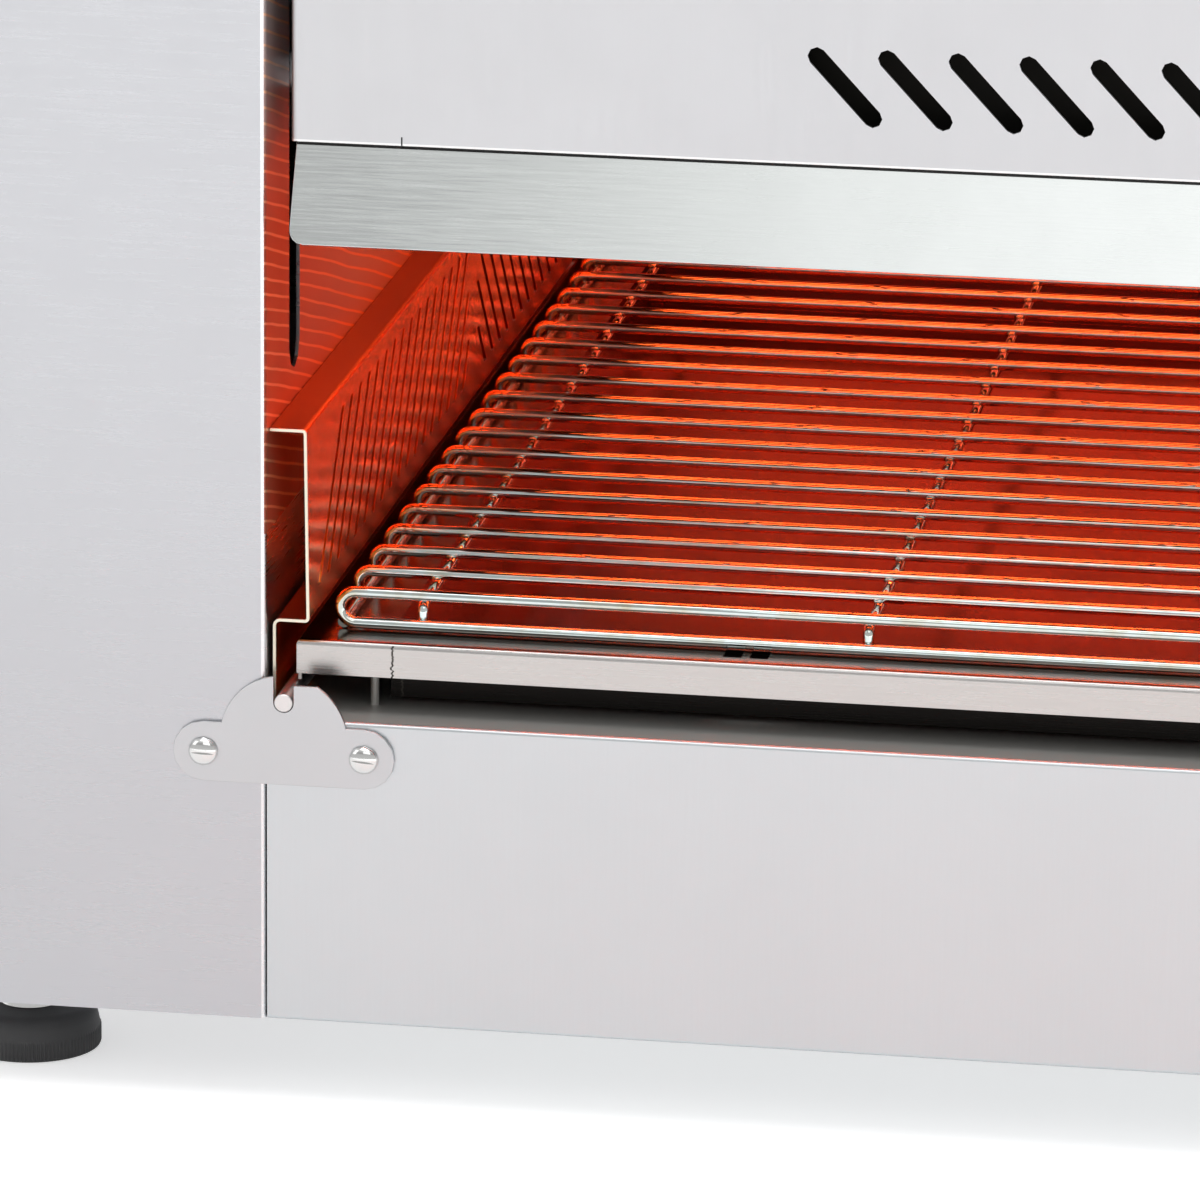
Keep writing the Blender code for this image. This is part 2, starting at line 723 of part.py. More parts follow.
def guard_slot_outlines():
    """Slanted slots in two groups that mirror each other, the last slots cut short by the group's end."""
    outlines = []
    half = GUARD_SLOT_WIDTH / 2
    for slot in range(GUARD_SLOTS):
        foot = GUARD_SLOT_BACK + slot * GUARD_SLOT_PITCH
        run = min(GUARD_SLOT_RUN, GUARD_GROUP_END - foot)
        top = GUARD_SLOT_LOW + (GUARD_SLOT_HIGH - GUARD_SLOT_LOW) * run / GUARD_SLOT_RUN
        corners = [(foot - half, GUARD_SLOT_LOW), (foot + half, GUARD_SLOT_LOW),
                   (foot + run + half, top), (foot + run - half, top)]
        outlines.append([(back(distance), up(height)) for distance, height in corners])
        outlines.append([(back(mirror_back(distance)), up(height)) for distance, height in corners])
    return outlines


def side_guard(label, side, steel):
    path = [(GAP, GUARD_TOP), (GUARD_WEB_TOP_IN, GUARD_TOP), (GUARD_WEB_FOOT_IN, GUARD_SHELF),
            (GUARD_LEG_IN, GUARD_SHELF), (GUARD_LEG_IN, BASE_TOP + GAP)]
    profile = sheet_outline(fillet(path, GUARD_BEND), GUARD_SHEET, left=False)
    outline = [(across(side, inward), up(height)) for inward, height in profile]
    bm = bmesh.new()
    add_prism(bm, outline, "Y", back(GUARD_BACK), back(mirror_back(GUARD_BACK)))
    guard = finish(f"{label}_side_guard", bm, steel)
    slots = bmesh.new()
    x_low, x_high = span(side, GUARD_WEB_TOP_IN - GUARD_SHEET - OVERRUN, GUARD_WEB_FOOT_IN + OVERRUN)
    for outline in guard_slot_outlines():
        add_prism(slots, outline, "X", x_low, x_high)
    cut(guard, slots, f"{label}_guard_slots")


def add_slot_row(bm, count, pitch, size, axis, centre, depths):
    """Row of oblong slots along X through a sheet that is square to an axis."""
    for index in range(count):
        first = centre[0] + (index - (count - 1) / 2) * pitch
        left, right = first - size[0] / 2, first + size[0] / 2
        lower, upper = centre[1] - size[1] / 2, centre[1] + size[1] / 2
        add_prism(bm, [(left, lower), (right, lower), (right, upper), (left, upper)], axis, *depths)


def bracket_outline():
    """Cloud shape with a notch for the rod and a lower flat beside it."""
    bar_top = EAR_HEIGHT + EAR_RADIUS
    disc = (ROD_IN, DISC_HEIGHT)
    shoulder = math.degrees(math.asin((bar_top - DISC_HEIGHT) / DISC_RADIUS))
    notch_side = math.degrees(math.acos(NOTCH_RADIUS / DISC_RADIUS))
    flat = math.degrees(math.asin((BRACKET_FLAT - DISC_HEIGHT) / DISC_RADIUS))
    outline = arc((EAR_LEFT_IN, EAR_HEIGHT), EAR_RADIUS, 270, 90)
    outline += arc(disc, DISC_RADIUS, 180 - shoulder, 180 - notch_side)
    outline += arc((ROD_IN, ROD_NOTCH_HEIGHT), NOTCH_RADIUS, 180, 360)
    outline.append((ROD_IN + NOTCH_RADIUS, BRACKET_FLAT))
    outline += arc(disc, DISC_RADIUS, flat, shoulder)
    return outline + arc((EAR_RIGHT_IN, EAR_HEIGHT), EAR_RADIUS, 90, -90)


def bracket_screw(name, centre, bright):
    """Domed pan head in front of the bracket with its shank behind it."""
    head = back(-BRACKET_SHEET - 2 * GAP)
    profile = [(SCREW_SHANK_RADIUS, SCREW_LENGTH), (SCREW_SHANK_RADIUS, 0), (SCREW_HEAD_RADIUS, 0)]
    for step in range(1, SCREW_CROWN_STEPS + 1):
        angle = math.pi / 2 * SCREW_CROWN_SHARE * step / SCREW_CROWN_STEPS
        profile.append((SCREW_HEAD_RADIUS * math.cos(angle), -SCREW_HEAD_RISE * math.sin(angle)))
    bm = bmesh.new()
    add_turned(bm, profile, (centre[0], head, centre[1]), "Y")
    screw = finish(name, bm, bright)
    slot = bmesh.new()
    reach = SCREW_HEAD_RADIUS + OVERRUN
    low = (centre[0] - reach, head - SCREW_HEAD_RISE - OVERRUN, centre[1] - SCREW_SLOT / 2)
    high = (centre[0] + reach, head - SCREW_HEAD_RISE + SCREW_SLOT_DEPTH, centre[1] + SCREW_SLOT / 2)
    add_box(slot, low, high)
    cut(screw, slot, f"{name}_slot")


def runner(label, side, steel, bright):
    """Rod that carries the tray's side, the notched bracket under its front end and the screws."""
    bm = bmesh.new()
    outline = [(across(side, inward), up(height)) for inward, height in bracket_outline()]
    add_prism(bm, outline, "Y", back(-BRACKET_SHEET - GAP), back(-GAP))
    plate = finish(f"{label}_rod_bracket", bm, steel)
    holes = bmesh.new()
    for place_name, inward in (("outer", EAR_LEFT_IN), ("inner", EAR_RIGHT_IN)):
        bracket_screw_hole(holes, side, inward)
        centre = (across(side, inward), up(EAR_HEIGHT))
        bracket_screw(f"{label}_{place_name}_bracket_screw", centre, bright)
    cut(plate, holes, f"{label}_bracket_holes")

    bm = bmesh.new()
    centre = (across(side, ROD_IN), 0, up(ROD_HEIGHT))
    add_cylinder(bm, ROD_RADIUS, centre, "Y", back(-ROD_PROUD), back(BODY_DEPTH))
    finish(f"{label}_runner_rod", bm, bright)


# Drip tray and wire grid

def drip_tray(body, steel):
    x_outer = HALF_CAVITY - TRAY_SIDE_IN
    y_front, y_rear = back(TRAY_BACK), back(mirror_back(TRAY_BACK))

    def rectangle(side_inset, end_inset, height):
        low = (-x_outer + side_inset, y_front + end_inset)
        return low, (x_outer - side_inset, y_rear - end_inset), up(height)

    side_lip = ROD_HEIGHT + ROD_RADIUS + GAP
    under = TRAY_SHEET
    bm = bmesh.new()
    add_rect_loops(bm, [
        rectangle(TRAY_SIDE_RIM, TRAY_RIM, TRAY_FLOOR),
        rectangle(TRAY_SIDE_RIM, TRAY_RIM, TRAY_RIM_TOP),
        rectangle(0, 0, TRAY_RIM_TOP),
        rectangle(0, 0, side_lip),
        rectangle(under, under, side_lip),
        rectangle(under, under, TRAY_RIM_TOP - under),
        rectangle(TRAY_SIDE_RIM - under, TRAY_RIM - under, TRAY_RIM_TOP - under),
        rectangle(TRAY_SIDE_RIM - under, TRAY_RIM - under, TRAY_FLOOR - under),
    ])
    tray = finish("drip_tray", bm, steel, body, smooth=False)

    cuts = bmesh.new()
    lip_foot = up(TRAY_RIM_TOP - TRAY_LIP)
    reach = x_outer + OVERRUN
    for edge in (y_front, y_rear - under):
        low = (-reach, edge - OVERRUN, up(side_lip) - OVERRUN)
        add_box(cuts, low, (reach, edge + under + OVERRUN, lip_foot))
    for window in range(2):
        x = -HALF_CAVITY + TRAY_WINDOW_IN + window * TRAY_WINDOW_STEP
        low = (x, back(TRAY_WINDOW_BACK), up(TRAY_RIM_TOP) - OVERRUN)
        add_box(cuts, low, (x + TRAY_WINDOW_LENGTH, back(TRAY_WINDOW_BACK + TRAY_WINDOW_DEPTH),
                            up(TRAY_RIM_TOP) + OVERRUN))
    cut(tray, cuts, "tray_cuts")


def wire_grid(body, chrome):
    """Cross wires on a frame, with runners below and a hairpin loop of wire at either end."""
    x_end = HALF_CAVITY - GRID_SIDE_IN
    low = up(TRAY_RIM_TOP + GAP + WIRE_RADIUS)
    top = up(GRID_TOP)
    loop_radius = (top - low) / 2
    y_first = back(GRID_FRONT_BACK)
    y_last = y_first + (GRID_WIRES - 1) * GRID_PITCH
    sink = 2 * WIRE_RADIUS - WELD_DEPTH
    under = top - 2 * WIRE_RADIUS - GAP

    cross = bmesh.new()
    for y in (y_first, y_last):
        ends = arc((x_end - loop_radius, low + loop_radius), loop_radius, -90, 90, LOOP_STEPS)
        ends += arc((loop_radius - x_end, low + loop_radius), loop_radius, 90, 270, LOOP_STEPS)
        add_wire(cross, [(x, y, z) for x, z in ends], closed=True)
    x_frame = HALF_CAVITY - GRID_FRAME_IN
    foot = low + WIRE_RADIUS / 2
    corners = [(-x_frame, foot), (-x_frame, top), (x_frame, top), (x_frame, foot)]
    path = fillet(corners, GRID_BEND, WIRE_BEND_STEPS)
    for wire in range(1, GRID_WIRES - 1):
        y = y_first + wire * GRID_PITCH
        add_wire(cross, [(x, y, z) for x, z in path])

    lengthwise = bmesh.new()
    for x in (-x_frame, x_frame):
        add_wire(lengthwise, [(x, y_first, low), (x, y_last, low)])
    first = HALF_CAVITY - GRID_RUNNER_IN
    for index in range(GRID_RUNNERS):
        x = -first + index * 2 * first / (GRID_RUNNERS - 1)
        path = fillet([(y_first + sink, low), (y_first + sink, under), (y_last - sink, under),
                       (y_last - sink, low)], WIRE_RADIUS, WIRE_BEND_STEPS)
        add_wire(lengthwise, [(x, y, z) for y, z in path])
    grid = finish("wire_grid", lengthwise, chrome, body)
    unite(grid, cross, "cross_wires")


# Hood

def hood_rectangle(inset, height):
    """Rectangle inside the hood's outline, for the lid and the liner."""
    low = (HOOD_SIDE_IN + inset - HALF_CAVITY, back(HOOD_BACK + inset))
    return low, (-low[0], back(HOOD_END - inset)), up(HOOD_BOTTOM + height)


def hood_casing(body, steel):
    x_outer = HALF_CAVITY - HOOD_SIDE_IN
    path = [(-x_outer, back(HOOD_END - SHEET - GAP)), (-x_outer, back(HOOD_BACK)),
            (x_outer, back(HOOD_BACK)), (x_outer, back(HOOD_END - SHEET - GAP))]
    bm = bmesh.new()
    outline = sheet_outline(fillet(path, CORNER_RADIUS), SHEET, left=True)
    add_prism(bm, outline, "Z", up(HOOD_BOTTOM), up(HOOD_BOTTOM + HOOD_HEIGHT))
    shell = finish("hood_shell", bm, steel, body)
    holes = bmesh.new()
    front, rear = back(HOOD_BACK - OVERRUN), back(HOOD_BACK + SHEET + OVERRUN)
    for vent in range(VENT_COUNT):
        x = VENT_IN + vent * VENT_PITCH - HALF_CAVITY
        z = up(HOOD_BOTTOM + VENT_HEIGHT)
        add_prism(holes, stadium((x, z), (x - VENT_RUN, z + VENT_RISE), VENT_WIDTH), "Y", front, rear)
    for side in SIDES.values():
        x_low, x_high = span(side, HOOD_SIDE_IN - OVERRUN, HOOD_SIDE_IN + SHEET + OVERRUN)
        for distance in (WALL_SLOT_BACK, mirror_back(WALL_SLOT_BACK)):
            centre = (0, back(distance), up(HOOD_BOTTOM + ARM_RISE))
            add_cylinder(holes, ARM_SHANK_RADIUS + GAP, centre, "X", x_low, x_high)
    cut(shell, holes, "hood_cuts")

    bm = bmesh.new()
    top = HOOD_HEIGHT + GAP
    skirt = SHEET + GAP
    add_rect_loops(bm, [
        hood_rectangle(0, top + SHEET),
        hood_rectangle(0, top),
        hood_rectangle(skirt, top),
        hood_rectangle(skirt, top - HOOD_LID_SKIRT),
        hood_rectangle(skirt + SHEET, top - HOOD_LID_SKIRT),
        hood_rectangle(skirt + SHEET, top),
    ])
    finish("hood_lid", bm, steel, body, smooth=False)

    bm = bmesh.new()
    add_box(bm, (-x_outer, back(HOOD_END - SHEET), up(HOOD_BOTTOM)),
            (x_outer, back(HOOD_END), up(HOOD_BOTTOM + HOOD_HEIGHT)))
    rear_panel = finish("hood_rear_panel", bm, steel, body, smooth=False)
    holes = bmesh.new()
    z = up(HOOD_BOTTOM + HOOD_HEIGHT / 2)
    depths = (back(HOOD_END - SHEET - OVERRUN), back(HOOD_END + OVERRUN))
    for group in SIDES.values():
        add_slot_row(holes, HOOD_VENTS, HOOD_VENT_PITCH, (HOOD_VENT_WIDTH, HOOD_VENT_LENGTH), "Y",
                     (group * x_outer / 2, z), depths)
    cut(rear_panel, holes, "hood_rear_vents")


def visor(body, steel):
    """Deflector that hangs behind the hood's lower edge and flares forward."""
    seat = back(HOOD_BACK + SHEET + GAP)
    path = [(seat, up(HOOD_BOTTOM + VISOR_FLANGE)), (seat, up(HOOD_BOTTOM - GAP)),
            (back(-VISOR_REACH), up(VISOR_FOOT))]
    outline = sheet_outline(path, SHEET, left=True)
    x_outer = HALF_CAVITY - VISOR_SIDE_IN
    bm = bmesh.new()
    add_prism(bm, outline, "X", -x_outer, x_outer)
    sheet = finish("visor", bm, steel, body, smooth=False)
    corners = bmesh.new()
    for side in SIDES.values():
        edge = side * (x_outer + OVERRUN)
        centre = (side * (x_outer - VISOR_CORNER), up(VISOR_FOOT) + VISOR_CORNER)
        start = 0 if side > 0 else 180
        rounding = arc(centre, VISOR_CORNER, start, start - side * 90, 4)
        below = up(VISOR_FOOT) - OVERRUN
        outline = rounding + [(centre[0], below), (edge, below), (edge, centre[1])]
        add_prism(corners, outline, "Y", back(-VISOR_REACH - OVERRUN), back(HOOD_BACK))
    cut(sheet, corners, "visor_corners")


def hood_inside(body, bright, wool, quartz, chrome):
    """Reflector pan with the heating tubes through its end walls, a fender below, a board on top."""
    clear = SHEET + GAP
    front_clear = clear + SHEET + GAP
    flange = LINER_FLANGE_RAISE
    wall = front_clear + LINER_SIDE

    def rectangle(inset, front, height):
        low, high, z = hood_rectangle(inset, height)
        return (low[0], back(HOOD_BACK + front)), high, z

    thick = LINER_SHEET
    bm = bmesh.new()
    add_rect_loops(bm, [
        rectangle(wall, wall, LINER_DEPTH - thick),
        rectangle(wall, wall, flange),
        rectangle(clear, front_clear, flange),
        rectangle(clear, front_clear, flange + thick),
        rectangle(wall - thick, wall - thick, flange + thick),
        rectangle(wall - thick, wall - thick, LINER_DEPTH),
    ])
    liner = finish("reflector_liner", bm, bright, body, smooth=False)

    x_wall = HALF_CAVITY - HOOD_SIDE_IN - wall
    x_cap = x_wall + thick + GAP
    z = up(HOOD_BOTTOM + TUBE_HEIGHT)
    first = HOOD_BACK + TUBE_END_INSET
    step = (HOOD_END - TUBE_END_INSET - first) / (TUBE_COUNT - 1)
    holes = bmesh.new()
    for index in range(TUBE_COUNT):
        axis = (0, back(first + index * step), z)
        add_cylinder(holes, TUBE_RADIUS + GAP, axis, "X", -x_cap - OVERRUN, x_cap + OVERRUN)
        end = x_cap + TUBE_CAP_LENGTH
        profile = [(TUBE_CAP_RADIUS, -end), (TUBE_CAP_RADIUS, -x_cap), (TUBE_RADIUS, -x_cap),
                   (TUBE_RADIUS, x_cap), (TUBE_CAP_RADIUS, x_cap), (TUBE_CAP_RADIUS, end)]
        bm = bmesh.new()
        add_turned(bm, profile, axis, "X")
        finish(f"heating_tube_{index + 1}", bm, quartz, body)
    cut(liner, holes, "liner_tube_holes")

    bm = bmesh.new()
    low, high, z = hood_rectangle(wall + INSULATION_INSET, LINER_DEPTH + GAP)
    add_box(bm, (*low, z), (*high, z + INSULATION_HEIGHT))
    finish("insulation_board", bm, wool, body, smooth=False)

    rods, bars = bmesh.new(), bmesh.new()
    reach = x_wall - FENDER_INSET
    y_front, y_rear = back(HOOD_BACK + wall + GAP), back(HOOD_END - wall - GAP)
    z = up(HOOD_BOTTOM + FENDER_HEIGHT)
    for rod in range(FENDER_RODS):
        x = -reach + 2 * reach * rod / (FENDER_RODS - 1)
        add_wire(rods, [(x, y_front, z), (x, y_rear, z)], FENDER_RADIUS)
    for bar in range(FENDER_BARS):
        y = y_front + (2 * bar + 1) * (y_rear - y_front) / (2 * FENDER_BARS)
        above = z + 2 * FENDER_RADIUS - WELD_DEPTH
        add_wire(bars, [(GAP - x_wall, y, above), (x_wall - GAP, y, above)], FENDER_RADIUS)
    unite(finish("tube_fender", rods, chrome, body), bars, "fender_bars")


def hood_handle(body, bright):
    """Bar across the hood's front on two posts."""
    y = back(HOOD_BACK - HANDLE_STANDOFF)
    z = up(HOOD_BOTTOM + HANDLE_RISE)
    half = HANDLE_LENGTH / 2
    bevel = HANDLE_RADIUS - HANDLE_END_RADIUS
    bm = bmesh.new()
    profile = [(HANDLE_END_RADIUS, -half), (HANDLE_RADIUS, bevel - half), (HANDLE_RADIUS, half - bevel),
               (HANDLE_END_RADIUS, half)]
    add_turned(bm, profile, (0, y, z), "X")
    bar = finish("hood_handle", bm, bright, body)
    posts = bmesh.new()
    for side in SIDES.values():
        profile = [(POST_FOOT_RADIUS, -GAP), (POST_FOOT_RADIUS, -POST_FOOT), (POST_RADIUS, -POST_FOOT),
                   (POST_RADIUS, -HANDLE_STANDOFF)]
        add_turned(posts, profile, (side * POST_SPACING / 2, back(HOOD_BACK), z), "Y")
    unite(bar, posts, "handle_posts")


# Lifting gear

def hood_carriage(label, side, body, steel):
    """Beam behind the wall with bearing blocks, arms through the wall slots and the strut's lug.

    Each arm ends in a shank through the hood's side with its nut inside the hood.
    """
    middle = BODY_DEPTH / 2
    arm_height = HOOD_BOTTOM + ARM_RISE
    low, high = arm_height - CARRIAGE_HEIGHT / 2, arm_height + CARRIAGE_HEIGHT / 2
    half_lug = STRUT_LUG_WIDTH / 2
    lug_low = STRUT_LUG_HEIGHT + GAP
    lug_high = lug_low + STRUT_LUG_SHEET
    corners = [(CARRIAGE_INSET, low), (mirror_back(CARRIAGE_INSET), low),
               (mirror_back(CARRIAGE_INSET), high), (middle + half_lug, high),
               (middle + half_lug, lug_high), (middle - half_lug, lug_high),
               (middle - half_lug, high), (CARRIAGE_INSET, high)]
    outline = [(back(distance), up(height)) for distance, height in corners]
    bm = bmesh.new()
    add_prism(bm, outline, "X", *span(side, -CARRIAGE_OUT - CARRIAGE_SHEET, -CARRIAGE_OUT))
    beam = finish(f"{label}_hood_carriage", bm, steel, body)

    added, bores = bmesh.new(), bmesh.new()
    sunk = -CARRIAGE_OUT - CARRIAGE_SHEET / 2
    x_low, x_high = span(side, -GUIDE_OUT - half_lug, sunk)
    low = (x_low, back(middle) - half_lug, up(lug_low))
    add_box(added, low, (x_high, back(middle) + half_lug, up(lug_high)))
    stem = (across(side, -GUIDE_OUT), back(middle), 0)
    add_cylinder(bores, STRUT_STEM_RADIUS + GAP, stem, "Z", up(lug_low) - OVERRUN, up(lug_high) + OVERRUN)
    x_low, x_high = span(side, -GUIDE_OUT - BLOCK_WIDTH / 2, sunk)
    block_low = up(arm_height) - BLOCK_HEIGHT / 2
    block_high = block_low + BLOCK_HEIGHT
    for axis in guide_places(side):
        low = (x_low, axis[1] - BLOCK_WIDTH / 2, block_low)
        add_box(added, low, (x_high, axis[1] + BLOCK_WIDTH / 2, block_high))
        add_cylinder(bores, GUIDE_RADIUS + BLOCK_CLEAR, axis, "Z", block_low - OVERRUN, block_high + OVERRUN)
    face = HOOD_SIDE_IN - GAP
    nut = HOOD_SIDE_IN + SHEET + GAP
    for distance in (WALL_SLOT_BACK, mirror_back(WALL_SLOT_BACK)):
        profile = [(ARM_RADIUS, sunk), (ARM_RADIUS, face), (ARM_SHANK_RADIUS, face),
                   (ARM_SHANK_RADIUS, nut), (NUT_RADIUS, nut), (NUT_RADIUS, nut + NUT_LENGTH)]
        profile = [(radius, across(side, inward)) for radius, inward in profile]
        add_turned(added, profile, (0, back(distance), up(arm_height)), "X")
    unite(beam, added, f"{label}_carriage_parts")
    cut(beam, bores, f"{label}_carriage_bores")


def gas_strut(label, side, body, bright, black):
    axis = (across(side, -GUIDE_OUT), back(BODY_DEPTH / 2), 0)
    bore = STRUT_ROD_RADIUS + GAP
    shoulder = up(FLOOR_TOP + SOCKET_DEPTH) + GAP
    profile = [(STRUT_FOOT_RADIUS, up(FLOOR_TOP) + GAP), (STRUT_FOOT_RADIUS, shoulder),
               (STRUT_BODY_RADIUS, shoulder), (STRUT_BODY_RADIUS, up(STRUT_BODY_HIGH)),
               (bore, up(STRUT_BODY_HIGH)), (bore, up(STRUT_BORE_LOW))]
    bm = bmesh.new()
    add_turned(bm, profile, axis, "Z")
    finish(f"{label}_gas_strut_cylinder", bm, black)
    foot = up(STRUT_BORE_LOW + HOOD_LIFT_DOWN + STRUT_END_SPACE)
    top = up(STRUT_LUG_HEIGHT)
    profile = [(STRUT_ROD_RADIUS, foot), (STRUT_ROD_RADIUS, top), (STRUT_STEM_RADIUS, top),
               (STRUT_STEM_RADIUS, top + STRUT_STEM)]
    bm = bmesh.new()
    add_turned(bm, profile, axis, "Z")
    finish(f"{label}_gas_strut_rod", bm, bright, body)


def guide_rods(label, side, bright):
    for name, axis in zip(ENDS, guide_places(side)):
        bm = bmesh.new()
        low, high = up(FLOOR_TOP) + GUIDE_END_GAP, up(COVER_TOP) - GUIDE_END_GAP
        add_cylinder(bm, GUIDE_RADIUS, axis, "Z", low, high)
        finish(f"{label}_{name}_guide_rod", bm, bright)


# Controls

def knob(name, height, plastic):
    """Knob with a grip bar on its shaft."""
    x, z = middle_of_column(1), up(height)
    body = make_body(f"{name}_axis", (x, back(0), z))
    tip = -KNOB_LENGTH
    profile = [(SHAFT_RADIUS, SHAFT_INSIDE), (SHAFT_RADIUS, -KNOB_CLEAR), (KNOB_RADIUS, -KNOB_CLEAR),
               (KNOB_RADIUS, -KNOB_SKIRT), (KNOB_GRIP_RADIUS, -KNOB_SKIRT - KNOB_EDGE),
               (KNOB_GRIP_RADIUS, tip + KNOB_EDGE), (KNOB_GRIP_RADIUS - KNOB_EDGE, tip)]
    bm = bmesh.new()
    add_turned(bm, profile, (x, back(0), z), "Y", sides=FINE_SIDES)
    grip = finish(f"{name}_knob", bm, plastic, body)
    flats = bmesh.new()
    reach = KNOB_RADIUS + OVERRUN
    for sign in (-1, 1):
        near, far = sorted((sign * KNOB_GRIP_WIDTH / 2, sign * reach))
        low = (x + near, back(tip) - OVERRUN, z - reach)
        add_box(flats, low, (x + far, back(-KNOB_SKIRT - KNOB_EDGE), z + reach))
    cut(grip, flats, f"{name}_grip_flats")


def control_unit(name, knob_number, size, black):
    """Regulator or timer behind the front of the right column."""
    x = middle_of_column(1)
    z = up(KNOB_TOP - knob_number * KNOB_PITCH)
    width, depth = size
    front = back(SHEET + GAP)
    bm = bmesh.new()
    low = (x - width / 2, front, z - REGULATOR_HEIGHT / 2)
    add_box(bm, low, (x + width / 2, front + depth, z + REGULATOR_HEIGHT / 2))
    unit = finish(name, bm, black, smooth=False)
    bore = bmesh.new()
    add_cylinder(bore, SHAFT_RADIUS + GAP, (x, 0, z), "Y", back(0), back(SHAFT_INSIDE + GAP))
    cut(unit, bore, f"{name}_bore")


def pilot_lamp(name, knob_number, amber):
    x = middle_of_column(1)
    z = up(KNOB_TOP - knob_number * KNOB_PITCH + LAMP_RISE)
    face = -GAP - LAMP_BEZEL
    profile = [(LAMP_RADIUS, LAMP_DEPTH), (LAMP_RADIUS, -GAP), (LAMP_BEZEL_RADIUS, -GAP),
               (LAMP_BEZEL_RADIUS, face), (LAMP_RADIUS, face),
               (LAMP_RADIUS * LAMP_DOME_SHARE, face - LAMP_DOME)]
    bm = bmesh.new()
    add_turned(bm, profile, (x, back(0), z), "Y")
    finish(name, bm, amber)


def rocker_switch(plastic, black):
    x, z = middle_of_column(1), up(SWITCH_HEIGHT)

    def rectangle(margin, distance):
        half_x, half_z = SWITCH_WIDTH / 2 + margin, SWITCH_LENGTH / 2 + margin
        return (x - half_x, z - half_z), (x + half_x, z + half_z), back(distance)

    bm = bmesh.new()
    add_rect_loops(bm, [
        rectangle(0, SWITCH_DEPTH - SWITCH_WALL), rectangle(0, -SWITCH_PROUD),
        rectangle(SWITCH_BEZEL, -SWITCH_PROUD), rectangle(SWITCH_BEZEL, -GAP),
        rectangle(SWITCH_WALL, -GAP), rectangle(SWITCH_WALL, SWITCH_DEPTH)], "Y")
    finish("switch_housing", bm, black, smooth=False)

    pivot = (back(ROCKER_PIVOT_BACK), z)
    body = make_body("rocker_axis", (x, *pivot))
    reach = SWITCH_LENGTH / 2 - 2 * GAP
    rise = ROCKER_PROUD + ROCKER_PIVOT_BACK
    turn = Matrix.Rotation(ROCKER_TILT, 2)
    outline = []
    for depth_share, length_share in ROCKER_OUTLINE_SHARES:
        turned = turn @ Vector((rise * depth_share, reach * length_share))
        outline.append((pivot[0] + turned.x, pivot[1] + turned.y))
    bm = bmesh.new()
    half = SWITCH_WIDTH / 2 - GAP
    add_prism(bm, outline, "X", x - half, x + half)
    finish("power_rocker", bm, plastic, body, smooth=False)


def mains_inlet(ceramic, black):
    """Cable gland through the back panel and the terminal block inside."""
    x, z = across(1, GLAND_IN), up(GLAND_HEIGHT)
    start = BODY_DEPTH + GAP
    inside = back(REAR_INNER - GLAND_INSIDE)
    profile = [(GLAND_BORE_RADIUS, inside), (GLAND_BORE_RADIUS, back(start + GLAND_PROUD))]
    for radius_share, reach_share in GLAND_CAP_SHARES:
        profile.append((GLAND_RADIUS * radius_share, back(start + GLAND_PROUD * reach_share)))
    profile += [(GLAND_NECK, back(start)), (GLAND_NECK, inside)]
    bm = bmesh.new()
    add_turned(bm, profile, (x, 0, z), "Y", hollow=True)
    finish("cable_gland", bm, black)
    bm = bmesh.new()
    floor = up(FLOOR_TOP) + GAP
    rear = back(mirror_back(TERMINAL_INSET))
    low = (x - TERMINAL_LENGTH / 2, rear - TERMINAL_WIDTH, floor)
    add_box(bm, low, (x + TERMINAL_LENGTH / 2, rear, floor + TERMINAL_HEIGHT))
    finish("terminal_block", bm, ceramic, smooth=False)


# Feet

def levelling_foot(name, side, distance, rubber):
    """Pad with a collar and a threaded stud through the column's floor, locked by a nut."""
    axis = (across(side, PAD_INSET_OUT - COLUMN_WIDTH), back(distance), 0)
    body = make_body(f"{name}_axis", axis)
    profile = [(PAD_RADIUS * radius, PAD_HEIGHT * height) for radius, height in PAD_PROFILE_SHARES]
    collar_top, nut_low = up(BOTTOM_RAISE) - GAP, up(FLOOR_TOP) + GAP
    profile += [(COLLAR_RADIUS, PAD_HEIGHT), (COLLAR_RADIUS, collar_top), (STUD_RADIUS, collar_top),
                (STUD_RADIUS, nut_low), (FOOT_NUT_RADIUS, nut_low),
                (FOOT_NUT_RADIUS, nut_low + FOOT_NUT_HEIGHT), (STUD_RADIUS, nut_low + FOOT_NUT_HEIGHT),
                (STUD_RADIUS, up(STUD_TOP))]
    bm = bmesh.new()
    add_turned(bm, profile, axis, "Z", sides=FINE_SIDES)
    finish(name, bm, rubber, body)


